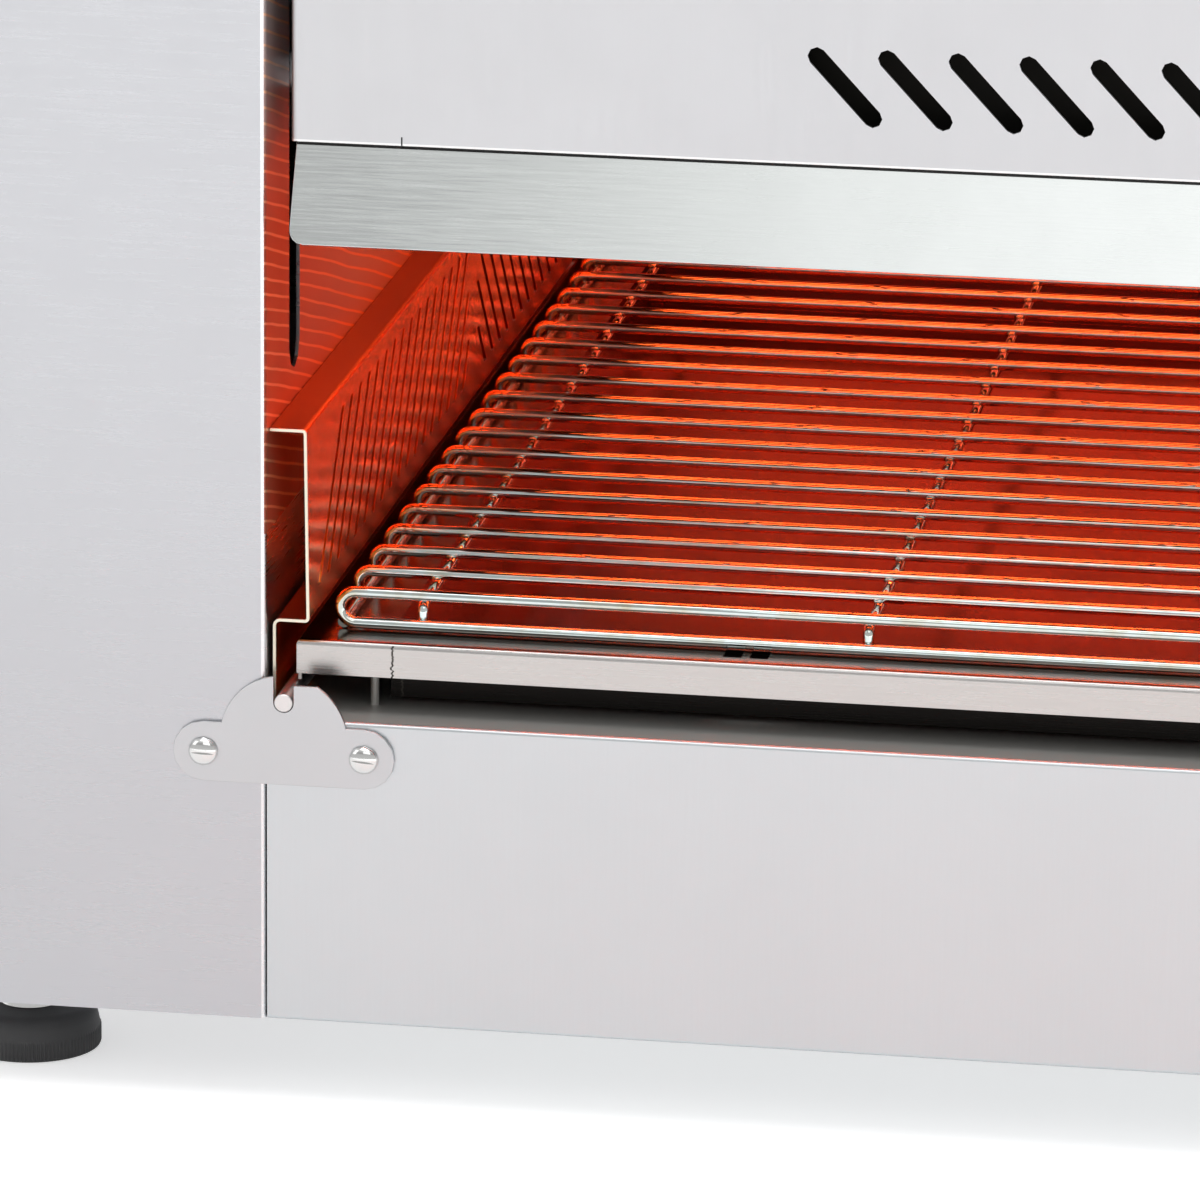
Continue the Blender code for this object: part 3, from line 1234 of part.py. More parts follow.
def main():
    for old in list(bpy.data.objects):
        bpy.data.objects.remove(old)

    steel = make_material("brushed_casing_steel", (0.62, 0.63, 0.65), 0.34, 1.0)
    bright = make_material("polished_steel", (0.70, 0.70, 0.70), 0.16, 1.0)
    chrome = make_material("chrome_wire", (0.80, 0.80, 0.80), 0.06, 1.0)
    hot = make_material("heat_tinted_steel", (0.55, 0.36, 0.30), 0.22, 1.0)
    visor_steel = make_material("visor_steel", (0.50, 0.52, 0.51), 0.30, 1.0)
    plastic = make_material("black_plastic", (0.03, 0.03, 0.03), 0.45, 0.0)
    black = make_material("black_housing", (0.02, 0.02, 0.02), 0.60, 0.0)
    rubber = make_material("charcoal_foot", (0.05, 0.05, 0.05), 0.60, 0.0)
    amber = make_material("amber_lens", (0.90, 0.35, 0.05), 0.20, 0.0)
    quartz = make_material("quartz_tube", (0.95, 0.30, 0.12), 0.15, 0.0)
    ceramic = make_material("terminal_ceramic", (0.85, 0.83, 0.78), 0.55, 0.0)
    wool = make_material("insulation_wool", (0.80, 0.78, 0.70), 0.90, 0.0)

    hood_body = make_body("hood_lift", (0, back(BODY_DEPTH / 2), up(HOOD_BOTTOM)))
    for label, side in SIDES.items():
        column_wall(label, side, steel)
        column_cover(label, side, steel)
        column_floor(label, side, steel)
        side_guard(label, side, hot)
        runner(label, side, steel, bright)
        guide_rods(label, side, bright)
        hood_carriage(label, side, hood_body, steel)
        gas_strut(label, side, hood_body, bright, black)
    base(steel, bright)

    tray_body = make_body("tray_slide", (0, back(TRAY_BACK), up(TRAY_RIM_TOP)))
    drip_tray(tray_body, steel)
    grid_body = make_body("grid_lift", (0, back(BODY_DEPTH / 2), up(GRID_TOP)))
    wire_grid(grid_body, chrome)

    hood_casing(hood_body, steel)
    visor(hood_body, visor_steel)
    hood_inside(hood_body, bright, wool, quartz, chrome)
    hood_handle(hood_body, bright)

    for index, name in enumerate(KNOB_NAMES):
        knob(name, KNOB_TOP - index * KNOB_PITCH, plastic)
    regulator = (REGULATOR_WIDTH, REGULATOR_DEPTH)
    control_unit("front_zone_regulator", 0, regulator, black)
    control_unit("rear_zone_regulator", 1, regulator, black)
    control_unit("timer_unit", 2, (TIMER_WIDTH, TIMER_DEPTH), black)
    pilot_lamp("front_zone_lamp", 0, amber)
    pilot_lamp("rear_zone_lamp", 1, amber)
    rocker_switch(plastic, black)
    mains_inlet(ceramic, black)

    for side_label, side in SIDES.items():
        for end_label in ENDS:
            distance = PAD_INSET_BACK if end_label == "front" else mirror_back(PAD_INSET_BACK)
            levelling_foot(f"{end_label}_{side_label}_foot", side, distance, rubber)


main()
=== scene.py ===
"""Looks of the salamander grill: finer pieces over its frame, materials, light and camera.

Metres, +Z up, +Y to the back. Lengths named "in" run from the inner wall of a column towards the
cavity, "back" from the front face of the columns to the rear, and heights from the body's lower
edge. Colours are linear, and a texture's frequencies are in cycles per metre along X, Y and Z.
"""
import json
import math

import bmesh
import bpy
from mathutils import Matrix, Vector

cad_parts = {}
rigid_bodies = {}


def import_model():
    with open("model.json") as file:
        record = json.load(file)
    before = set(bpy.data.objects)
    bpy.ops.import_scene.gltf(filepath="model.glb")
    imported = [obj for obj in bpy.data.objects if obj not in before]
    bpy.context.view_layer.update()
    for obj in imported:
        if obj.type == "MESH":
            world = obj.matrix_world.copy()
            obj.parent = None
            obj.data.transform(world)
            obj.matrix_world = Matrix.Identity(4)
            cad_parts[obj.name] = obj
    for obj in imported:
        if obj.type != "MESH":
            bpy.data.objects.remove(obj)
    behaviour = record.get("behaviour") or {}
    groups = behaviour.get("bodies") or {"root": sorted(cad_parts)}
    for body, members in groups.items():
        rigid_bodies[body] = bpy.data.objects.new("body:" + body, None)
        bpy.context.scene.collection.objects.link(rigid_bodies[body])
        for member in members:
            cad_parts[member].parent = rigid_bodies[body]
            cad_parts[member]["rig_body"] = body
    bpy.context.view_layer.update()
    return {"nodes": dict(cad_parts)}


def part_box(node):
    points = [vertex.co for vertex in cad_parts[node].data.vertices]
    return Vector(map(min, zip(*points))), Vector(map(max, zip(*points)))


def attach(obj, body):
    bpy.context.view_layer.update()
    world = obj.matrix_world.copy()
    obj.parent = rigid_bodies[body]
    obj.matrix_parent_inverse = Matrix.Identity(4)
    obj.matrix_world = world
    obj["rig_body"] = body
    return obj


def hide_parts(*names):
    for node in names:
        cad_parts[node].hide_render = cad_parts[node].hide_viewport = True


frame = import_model()

# Places taken from the frame
WALL_LOW, WALL_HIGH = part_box("left_column_wall")
FACE_Y = WALL_LOW.y
HALF_CAVITY = -WALL_HIGH.x
BODY_LOW = WALL_LOW.z
TRAY_LOW, TRAY_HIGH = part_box("drip_tray")
HOOD_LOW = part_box("hood_shell")[0]
SIDES = {"left": -1, "right": 1}

# Camera: measured from the photograph, which shows the lower left part of the machine
CAMERA_PLACE = Vector((0.2680, -2.96393, 0.9359))
CAMERA_RIGHT = Vector((0.98667827, 0.16239134, 0.00974889))
CAMERA_UP = Vector((-0.05299318, 0.26416957, 0.96301929))
CAMERA_FOCAL_PIXELS = 8416
CAMERA_CLIP = (0.05, 60.0)
PHOTO_WIDTH_PIXELS = 1200
SENSOR_WIDTH = 36.0

# Meshes
NEAR = 0.00005
WELD = 0.00001
GAP = 0.0003
FLAT_ANGLE = math.radians(0.5)
SMOOTH_ANGLE = math.radians(35)
EDGE = 0.00018
EDGE_STEPS = 2
EDGE_ANGLE = math.radians(40)
BEND_STEPS = 5
TURNED_SIDES = 48
WIRE_RADIUS = 0.0020
WIRE_SIDES = 14


def back(distance):
    return FACE_Y + distance


def up(height):
    return BODY_LOW + height


# Mesh helpers

def new_piece(name, bm, smooth=True):
    bmesh.ops.recalc_face_normals(bm, faces=bm.faces)
    mesh = bpy.data.meshes.new(name)
    bm.to_mesh(mesh)
    bm.free()
    if smooth:
        mesh.shade_smooth()
        mesh.set_sharp_from_angle(angle=SMOOTH_ANGLE)
    piece = bpy.data.objects.new(name, mesh)
    bpy.context.scene.collection.objects.link(piece)
    return piece


def ride_with(piece, node):
    """The piece goes with a node's body."""
    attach(piece, frame["nodes"][node]["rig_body"])


def stand_for(piece, node):
    """The piece goes with a node's body and is shown in the node's place."""
    ride_with(piece, node)
    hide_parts(node)


def add_loops(bm, loops, closed=False):
    """Skin through loops of points, capped at both ends unless it closes into a ring."""
    rings = [[bm.verts.new(point) for point in loop] for loop in loops]
    pairs = list(zip(rings, rings[1:]))
    if closed:
        pairs.append((rings[-1], rings[0]))
    for lower, upper in pairs:
        for index in range(len(lower)):
            following = (index + 1) % len(lower)
            bm.faces.new((lower[index], lower[following], upper[following], upper[index]))
    if not closed:
        bm.faces.new(rings[0])
        bm.faces.new(rings[-1])


def add_block(bm, low, high):
    outline = ((low[0], low[1]), (high[0], low[1]), (high[0], high[1]), (low[0], high[1]))
    add_loops(bm, [[Vector((x, y, z)) for x, y in outline] for z in (low[2], high[2])])


def add_turned(bm, profile, axis_point, direction, sides=TURNED_SIDES, radius_share=None):
    """Turned shape from (radius, distance) pairs along a direction."""
    direction = Vector(direction)
    first = direction.orthogonal().normalized()
    second = direction.cross(first)
    loops = []
    for radius, distance in profile:
        loop = []
        for index in range(sides):
            angle = 2 * math.pi * index / sides
            reach = radius * (radius_share(index, distance) if radius_share else 1.0)
            spoke = first * (math.cos(angle) * reach) + second * (math.sin(angle) * reach)
            loop.append(Vector(axis_point) + direction * distance + spoke)
        loops.append(loop)
    add_loops(bm, loops)


def round_path(path, radius):
    """Round the inner corners of an open path of 3-D points."""
    path = [Vector(point) for point in path]
    rounded = [path[0]]
    for before, corner, after in zip(path, path[1:], path[2:]):
        towards = (before - corner).normalized()
        away = (after - corner).normalized()
        half = towards.angle(away) / 2
        start = corner + towards * (radius / math.tan(half))
        centre = corner + (towards + away).normalized() * (radius / math.sin(half))
        turn = Matrix.Rotation((math.pi - 2 * half) / BEND_STEPS, 3, towards.cross(away) * -1)
        spoke = start - centre
        for _ in range(BEND_STEPS + 1):
            rounded.append(centre + spoke)
            spoke = turn @ spoke
    rounded.append(path[-1])
    return rounded


def add_wire(bm, path, radius=WIRE_RADIUS, closed=False):
    """Round wire along a path that lies in one plane."""
    path = [Vector(point) for point in path]
    count = len(path)
    normal = Vector((0.0, 0.0, 0.0))
    for index in range(1, count - 1):
        normal += (path[index] - path[index - 1]).cross(path[index + 1] - path[index])
    if normal.length == 0:
        normal = (path[1] - path[0]).orthogonal()
    normal.normalize()
    angles = [2 * math.pi * step / WIRE_SIDES for step in range(WIRE_SIDES)]
    loops = []
    for index, point in enumerate(path):
        ahead = path[(index + 1) % count] if closed or index < count - 1 else point
        behind = path[index - 1] if closed or index else point
        side = (ahead - behind).normalized().cross(normal)
        loops.append([point + side * (math.cos(angle) * radius) + normal * (math.sin(angle) * radius)
                      for angle in angles])
    add_loops(bm, loops, closed=closed)


def dressed(node, key, edge=EDGE, rounded=()):
    """Show a copy of a node in a material, with its edges broken.

    rounded has (test, radius) pairs: the sharp edges that a test picks get a wider bend.
    """
    bm = bmesh.new()
    bm.from_mesh(frame["nodes"][node].data)
    bmesh.ops.remove_doubles(bm, verts=bm.verts, dist=WELD)
    bmesh.ops.dissolve_limit(bm, angle_limit=FLAT_ANGLE, verts=bm.verts, edges=bm.edges)
    for test, radius in rounded:
        edges = [e for e in bm.edges if len(e.link_faces) == 2 and test(*[v.co for v in e.verts])
                 and e.calc_face_angle(0) > SMOOTH_ANGLE]
        bmesh.ops.bevel(bm, geom=edges, offset=radius, segments=BEND_STEPS, profile=0.5,
                        affect="EDGES", clamp_overlap=True)
    piece = new_piece(f"{node}_finished", bm)
    if edge:
        bevel = piece.modifiers.new("edge", "BEVEL")
        bevel.width = edge
        bevel.segments = EDGE_STEPS
        bevel.limit_method = "ANGLE"
        bevel.angle_limit = EDGE_ANGLE
    flat = piece.modifiers.new("flat_sheets", "WEIGHTED_NORMAL")
    flat.keep_sharp = True
    piece.data.materials.append(material[key])
    stand_for(piece, node)


def finished(name, bm, key, node, in_place=True):
    """New piece in a material, either in place of a node or beside it."""
    piece = new_piece(name, bm)
    piece.data.materials.append(material[key])
    if in_place:
        stand_for(piece, node)
    else:
        ride_with(piece, node)


# Material helpers

WHITE = (1, 1, 1, 1)


class Nodes:
    """Shorthand for the nodes of a material or of the world."""

    def __init__(self, tree):
        self.nodes = tree.nodes
        self.links = tree.links
        self.coordinates = self.nodes.new("ShaderNodeTexCoord")

    def feed(self, socket, source):
        """Link a socket to another node's output, or set its value."""
        if isinstance(source, bpy.types.NodeSocket):
            self.links.new(source, socket)
        else:
            socket.default_value = source

    def part(self, coordinate, axis):
        """X, Y or Z of a texture coordinate."""
        node = self.nodes.new("ShaderNodeSeparateXYZ")
        self.links.new(self.coordinates.outputs[coordinate], node.inputs["Vector"])
        return node.outputs[axis]

    def between(self, value, low, high, to_low=0.0, to_high=1.0):
        """Spread a value's range from low to high over another range, and clamp the rest."""
        node = self.nodes.new("ShaderNodeMapRange")
        self.feed(node.inputs["Value"], value)
        names = ("From Min", "From Max", "To Min", "To Max")
        for name, number in zip(names, (low, high, to_low, to_high)):
            node.inputs[name].default_value = number
        return node.outputs["Result"]

    def math(self, operation, first, second=0.0, third=0.0):
        node = self.nodes.new("ShaderNodeMath")
        node.operation = operation
        for socket, value in zip(node.inputs, (first, second, third)):
            self.feed(socket, value)
        return node.outputs["Value"]

    def both(self, first, second):
        return self.math("MULTIPLY", first, second)

    def mix(self, factor, first, second, blend="MIX"):
        """Mix of two colours."""
        node = self.nodes.new("ShaderNodeMix")
        node.data_type = "RGBA"
        node.blend_type = blend
        self.feed(node.inputs["Factor"], factor)
        for name, value in (("A", first), ("B", second)):
            socket = next(s for s in node.inputs if s.name == name and s.type == "RGBA")
            self.feed(socket, value)
        return next(s for s in node.outputs if s.type == "RGBA")

    def blend_value(self, factor, first, second):
        """Mix of two numbers."""
        node = self.nodes.new("ShaderNodeMix")
        node.data_type = "FLOAT"
        sockets = [s for s in node.inputs if s.type == "VALUE"]
        for socket, value in zip(sockets, (factor, first, second)):
            self.feed(socket, value)
        return next(s for s in node.outputs if s.type == "VALUE")


class Finish(Nodes):
    """A Principled material whose detail is added node by node."""

    def __init__(self, name, colour, roughness, metallic=0.0):
        self.material = bpy.data.materials.new(name)
        self.material.use_nodes = True
        super().__init__(self.material.node_tree)
        self.shader = self.nodes["Principled BSDF"]
        self.set(base_color=(*colour, 1.0), roughness=roughness, metallic=metallic)

    def set(self, **values):
        """Set or link the shader's sockets, such as base_color."""
        for name, value in values.items():
            self.feed(self.shader.inputs[name.replace("_", " ").title()], value)

    def so_far(self, name):
        """What a socket of the shader is linked to, for a mix with more."""
        return self.shader.inputs[name].links[0].from_socket

    def noise(self, frequency, detail=3.0, roughness=0.55):
        """Noise over the piece's own coordinates; one number is the frequency of all three axes."""
        if not isinstance(frequency, tuple):
            frequency = (frequency, frequency, frequency)
        mapping = self.nodes.new("ShaderNodeMapping")
        mapping.inputs["Scale"].default_value = frequency
        self.links.new(self.coordinates.outputs["Object"], mapping.inputs["Vector"])
        texture = self.nodes.new("ShaderNodeTexNoise")
        texture.inputs["Scale"].default_value = 1.0
        texture.inputs["Detail"].default_value = detail
        texture.inputs["Roughness"].default_value = roughness
        self.links.new(mapping.outputs["Vector"], texture.inputs["Vector"])
        return texture.outputs["Fac"]

    def place(self, axis):
        """Coordinate along an axis, in metres."""
        return self.part("Object", axis)

    def normal(self, axis):
        return self.part("Normal", axis)

    def facing(self, axis):
        """How far the surface faces along an axis, whichever way."""
        return self.math("ABSOLUTE", self.normal(axis))

    def within(self, axis, middle, reach):
        """1 where a coordinate lies within reach of the middle."""
        away = self.math("ABSOLUTE", self.math("SUBTRACT", self.place(axis), middle))
        return self.math("LESS_THAN", away, reach)

    def bump(self, height, distance):
        node = self.nodes.new("ShaderNodeBump")
        node.inputs["Distance"].default_value = distance
        self.links.new(height, node.inputs["Height"])
        self.set(normal=node.outputs["Normal"])


def shade(colour, share):
    return tuple(min(1.0, part * share) for part in colour[:3]) + (1.0,)


# Materials. GRAIN and TINTS are the parts of a texture's range that show as lines and as clouds of
# colour, and FACING is the least part of a normal with which a face looks along an axis.

GRAIN = (0.3, 0.7)
TINTS = (0.35, 0.7)
FACING = 0.7
FINE, COARSE = 1300.0, 34.0
LEVEL_LINES = (COARSE, COARSE, FINE)
STREAKS = 0.012
SMUDGES = 0.015
BRUSH_DEPTH = 0.000001
BRUSH_ROUGHNESS = 0.05
CLOUDS, CLOUD_RANGE = 7.0, (0.35, 0.65)
MARKS, MARK_RANGE, MARK_ROUGHNESS = 38.0, (0.4, 0.7), (-0.01, 0.015)


def brushed_steel(name, colour, roughness, grain, streaks=STREAKS):
    """Steel sheet brushed along an axis, with soft smudges; top faces are brushed along X.

    grain is the axis that the scratches run along, or "XY" for scratches that lie level.
    """
    steel = Finish(name, colour, roughness, 1.0)
    frequencies = tuple(COARSE if axis in grain else FINE for axis in "XYZ")
    lines = steel.noise(frequencies, detail=5.0, roughness=0.7)
    top_lines = steel.noise((COARSE, FINE, COARSE), detail=5.0, roughness=0.7)
    on_top = steel.math("GREATER_THAN", steel.facing("Z"), FACING)
    lines = steel.blend_value(on_top, lines, top_lines)
    clouds = steel.noise(CLOUDS)
    marks = steel.noise(MARKS, detail=4.0, roughness=0.6)
    streaked = steel.mix(steel.between(lines, *GRAIN),
                         shade(colour, 1 - streaks), shade(colour, 1 + streaks))
    cloudy = steel.mix(steel.between(clouds, *CLOUD_RANGE), shade(WHITE, 1 - SMUDGES), WHITE)
    steel.set(base_color=steel.mix(1.0, streaked, cloudy, "MULTIPLY"))
    rough_lines = steel.between(lines, *GRAIN, roughness - BRUSH_ROUGHNESS, roughness + BRUSH_ROUGHNESS)
    rough_marks = steel.between(marks, *MARK_RANGE, *MARK_ROUGHNESS)
    steel.set(roughness=steel.math("ADD", rough_lines, rough_marks))
    steel.bump(lines, BRUSH_DEPTH)
    return steel


# The tint goes from pale to red over the heights below, and part of the way back over the depths; its
# red is heat tint with the tubes' red glow painted in
WALL_NEAR = 0.0030
HEAT_AND_GLOW_LOWEST = 0.170
HEAT_AND_GLOW_HEIGHTS = (0.40, 0.27)
HEAT_AND_GLOW_DEPTHS = (0.03, 0.16)
HEAT_AND_GLOW_FADE = 0.55
HEAT_ROUGHNESS, HEAT_METALLIC = 0.34, 0.35
# Painted light: the red end stands for heat tint together with the tubes' red glow on the wall
HEAT_AND_GLOW_PALE, HEAT_AND_GLOW_RED = (0.56, 0.66, 0.68, 1), (0.52, 0.15, 0.09, 1)
# Painted reflection: thin wavy orange lines that stand for the glow mirrored in the wall
STREAK_FALL = 0.28
STREAK_PITCH = 0.0052
STREAK_WAVES = (60.0, 7.0, 22.0)
STREAK_WAVER = 5.0
STREAK_CREST = (0.72, 0.95)
STREAK_SHARE, REFLECTED_GLOW_STREAK_COLOUR = 0.85, (1.0, 0.55, 0.32, 1)
# Painted highlight: a pale band along the bend at the column's front edge
CORNER_WIDTH, CORNER_HIGHLIGHT_COLOUR = 0.0016, (0.86, 0.87, 0.88, 1)


def column_steel():
    """Brushed steel with heat tints and painted red glow on the walls' faces towards the cavity.

    The tint goes from mauve to red with thin wavy lines of painted reflection, and the bend at its
    front edge has a painted highlight.
    """
    steel = brushed_steel("column_steel", (0.575, 0.58, 0.605), 0.30, "XY")
    from_middle = steel.math("ABSOLUTE", steel.place("X"))
    from_wall = steel.math("ABSOLUTE", steel.math("SUBTRACT", from_middle, HALF_CAVITY))
    inner = steel.both(steel.math("GREATER_THAN", steel.facing("X"), FACING),
                       steel.math("LESS_THAN", from_wall, WALL_NEAR))
    inner = steel.both(inner, steel.math("GREATER_THAN", steel.place("Z"), up(HEAT_AND_GLOW_LOWEST)))
    # Painted reflection of the glow: wavy lines across the inner faces
    waver = steel.math("MULTIPLY", steel.noise(STREAK_WAVES), STREAK_WAVER)
    fallen = steel.math("MULTIPLY_ADD", steel.place("Y"), STREAK_FALL, steel.place("Z"))
    turns = steel.math("MULTIPLY_ADD", fallen, 2 * math.pi / STREAK_PITCH, waver)
    lines = steel.between(steel.math("SINE", turns), *STREAK_CREST)
    depth = steel.between(steel.place("Y"), *map(back, HEAT_AND_GLOW_DEPTHS))
    low_down = steel.between(steel.place("Z"), *map(up, HEAT_AND_GLOW_HEIGHTS))
    hot = steel.math("SUBTRACT", low_down, steel.math("MULTIPLY", depth, HEAT_AND_GLOW_FADE))
    # Heat tint with painted red glow, redder low down and fading towards the rear
    heat_and_glow_tint = steel.mix(steel.math("MAXIMUM", 0.0, hot), HEAT_AND_GLOW_PALE, HEAT_AND_GLOW_RED)
    heat_and_glow_tint = steel.mix(steel.math("MULTIPLY", lines, STREAK_SHARE), heat_and_glow_tint, REFLECTED_GLOW_STREAK_COLOUR)
    # Painted highlight on the bend at the front edge
    corner = steel.both(steel.math("LESS_THAN", from_middle, HALF_CAVITY + CORNER_WIDTH),
                        steel.math("LESS_THAN", steel.place("Y"), back(CORNER_WIDTH)))
    plain = steel.mix(corner, steel.so_far("Base Color"), CORNER_HIGHLIGHT_COLOUR)
    steel.set(base_color=steel.mix(inner, plain, heat_and_glow_tint),
              roughness=steel.blend_value(inner, steel.so_far("Roughness"), HEAT_ROUGHNESS),
              metallic=steel.blend_value(inner, 1.0, HEAT_METALLIC))
    return steel


HOOD_SEAM_IN = 0.0450
HOOD_SEAM_WIDTH = 0.0005
HOOD_SEAM_HEIGHT = 0.0030
HOOD_SEAM_DEPTH = 0.002
# Painted highlight: a pale band along the hood's lower lip
LIP_HIGHLIGHT_HEIGHT, LIP_HIGHLIGHT_COLOUR = 0.0008, (0.95, 0.95, 0.95, 1)
# Painted shadow: a dark line on the visor's top, in the gap under the hood's lip; the same dark colours
# the hood's seam
SHADOW_LINE_HEIGHT = 0.0009
SEAM_AND_SHADOW_COLOUR = (0.03, 0.03, 0.03, 1)


def hood_steel():
    """Brushed steel with a painted highlight along its lower lip and the small dark seam that the photo
    shows in it.
    """
    hood = brushed_steel("hood_steel", (0.655, 0.657, 0.675), 0.42, "Z")
    seam = hood.both(hood.within("X", -HALF_CAVITY + HOOD_SEAM_IN, HOOD_SEAM_WIDTH / 2),
                     hood.within("Z", HOOD_LOW.z, HOOD_SEAM_HEIGHT))
    seam = hood.both(seam, hood.math("LESS_THAN", hood.place("Y"), HOOD_LOW.y + HOOD_SEAM_DEPTH))
    # Painted highlight along the lower lip
    lip_highlight = hood.within("Z", HOOD_LOW.z, LIP_HIGHLIGHT_HEIGHT)
    plain = hood.mix(lip_highlight, hood.so_far("Base Color"), LIP_HIGHLIGHT_COLOUR)
    hood.set(base_color=hood.mix(seam, plain, SEAM_AND_SHADOW_COLOUR))
    return hood


def visor_steel():
    """Finely brushed along its length, with a painted shadow line in the gap under the hood's lip."""
    visor = brushed_steel("visor_brushed_steel", (0.71, 0.735, 0.725), 0.24, "X", streaks=0.07)
    # Painted shadow in the gap under the hood's lip
    shadow_line = visor.within("Z", HOOD_LOW.z - SHADOW_LINE_HEIGHT / 3, SHADOW_LINE_HEIGHT)
    visor.set(base_color=visor.mix(shadow_line, visor.so_far("Base Color"), SEAM_AND_SHADOW_COLOUR))
    return visor


GUARD_TINT_FREQUENCIES = (14.0, 14.0, 26.0)
# Painted light: the red tints stand for heat tint together with the tubes' red glow on the sheet
GUARD_HEAT_AND_GLOW_TINTS = ((0.96, 0.32, 0.07, 1), (0.90, 0.25, 0.05, 1))
GUARD_ROUGHNESS = (0.19, 0.23)
# Painted shade: the ledges facing up are darker than the web
LEDGE_SHADE_COLOUR, LEDGE_ROUGHNESS = (0.22, 0.070, 0.040, 1), 0.36
# Painted highlight: pale cut edges at the guard's ends
CUT_WIDTH = 4 * EDGE
CUT_HIGHLIGHT_COLOUR, CUT_ROUGHNESS = (0.93, 0.88, 0.72, 1), 0.45


def guard_steel():
    """Polished sheet with heat tint and painted red glow, painted shade on its ledges, and pale cut
    edges that are painted highlights.
    """
    guard = Finish("guard_steel_heat_tint_and_painted_glow", (0.95, 0.30, 0.07), 0.17, 1.0)
    lines = guard.noise(LEVEL_LINES, detail=4.0, roughness=0.7)
    # Heat tint with painted red glow
    clouds = guard.noise(GUARD_TINT_FREQUENCIES)
    web = guard.mix(guard.between(clouds, *TINTS), *GUARD_HEAT_AND_GLOW_TINTS)
    # Painted shade on the ledges
    ledge = guard.math("GREATER_THAN", guard.normal("Z"), FACING)
    sheet = guard.mix(ledge, web, LEDGE_SHADE_COLOUR)
    # Painted highlight on the cut edges at the ends
    low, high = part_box("left_side_guard")
    along = guard.within("Y", (low.y + high.y) / 2, (high.y - low.y) / 2 - CUT_WIDTH)
    cut_edge_highlight = guard.math("SUBTRACT", 1.0, along)
    rough = guard.blend_value(ledge, guard.between(lines, *GRAIN, *GUARD_ROUGHNESS), LEDGE_ROUGHNESS)
    guard.set(base_color=guard.mix(cut_edge_highlight, sheet, CUT_HIGHLIGHT_COLOUR),
              roughness=guard.blend_value(cut_edge_highlight, rough, CUT_ROUGHNESS))
    return guard


TRAY_SIDE_RIM = 0.0300
TRAY_RIM = 0.0200
RIM_BEND = 0.0020
RIM_BEND_SHOWN = (2 * RIM_BEND, 0.8 * RIM_BEND)
RIM_FACING = 0.8
RIM_TINTS = ((0.56, 0.54, 0.525, 1), (0.62, 0.60, 0.585, 1))
RIM_ROUGHNESS = (0.22, 0.30)
# Painted shade: the rim's top is darker than its pale lip
RIM_TOP_SHADE = (0.14, 0.120, 0.110, 1)
# Painted shade: near black under the rim
BENEATH_SHADE = (0.02, 0.018, 0.017, 1)
BAKED = 16.0
# Painted light: the basin's baked tints are made redder to stand for the tubes' red glow
BAKED_AND_GLOW_TINTS = ((0.30, 0.068, 0.052, 1), (0.20, 0.046, 0.036, 1))
BAKED_RANGE, BAKED_ROUGHNESS = (0.3, 0.8), (0.14, 0.20)
TRAY_BRUSH_DEPTH = 0.000002
SEAM_IN = 0.0407
SEAM_HALF_WIDTH, SEAM_COLOUR = 0.00032, (0.05, 0.045, 0.04, 1)
SEAM_WAVES, SEAM_WAVER = (0.0, 0.0, 700.0), (-0.0009, 0.0009)


def tray_steel():
    """Pale brushed rim with a weld seam; a dark mirror on the rim's top and in the basin, with painted
    shade on the rim's top, painted red glow over the basin's baked tint, and painted shade beneath the
    rim.
    """
    tray = Finish("tray_steel", (0.66, 0.64, 0.62), 0.24, 1.0)
    lines = tray.noise(LEVEL_LINES, detail=4.0, roughness=0.7)
    baked = tray.noise(BAKED, detail=5.0, roughness=0.6)
    middle = (TRAY_LOW + TRAY_HIGH) / 2
    half = (TRAY_HIGH - TRAY_LOW) / 2
    basin = tray.both(tray.within("X", middle.x, half.x - TRAY_SIDE_RIM + NEAR),
                      tray.within("Y", middle.y, half.y - TRAY_RIM + NEAR))
    dark = tray.math("MAXIMUM", basin, tray.math("GREATER_THAN", tray.normal("Z"), RIM_FACING))
    # Painted shade beneath the rim
    shade_beneath = tray.both(tray.within("X", middle.x, half.x - RIM_BEND_SHOWN[0]),
                        tray.within("Y", middle.y, half.y - RIM_BEND_SHOWN[1]))
    shade_beneath = tray.both(shade_beneath, tray.math("LESS_THAN", tray.normal("Z"), RIM_FACING))
    shade_beneath = tray.both(shade_beneath, tray.math("SUBTRACT", 1.0, basin))
    rim = tray.mix(tray.between(lines, *GRAIN), *RIM_TINTS)
    # Baked tint with painted red glow
    floor_tint = tray.mix(tray.between(baked, *TINTS), *BAKED_AND_GLOW_TINTS)
    # Painted shade on the rim's top; baked tint with painted red glow in the basin
    colour = tray.mix(dark, rim, tray.mix(basin, RIM_TOP_SHADE, floor_tint))
    colour = tray.mix(shade_beneath, colour, BENEATH_SHADE)
    away = tray.math("SUBTRACT", tray.place("X"), -HALF_CAVITY + SEAM_IN)
    waver = tray.between(tray.noise(SEAM_WAVES), *GRAIN, *SEAM_WAVER)
    off_seam = tray.math("ABSOLUTE", tray.math("ADD", away, waver))
    seam = tray.both(tray.math("LESS_THAN", off_seam, SEAM_HALF_WIDTH),
                     tray.math("LESS_THAN", tray.normal("Y"), -RIM_FACING))
    tray.set(base_color=tray.mix(seam, colour, SEAM_COLOUR),
             roughness=tray.blend_value(dark, tray.between(lines, *GRAIN, *RIM_ROUGHNESS),
                                        tray.between(baked, *BAKED_RANGE, *BAKED_ROUGHNESS)))
    tray.bump(lines, TRAY_BRUSH_DEPTH)
    return tray


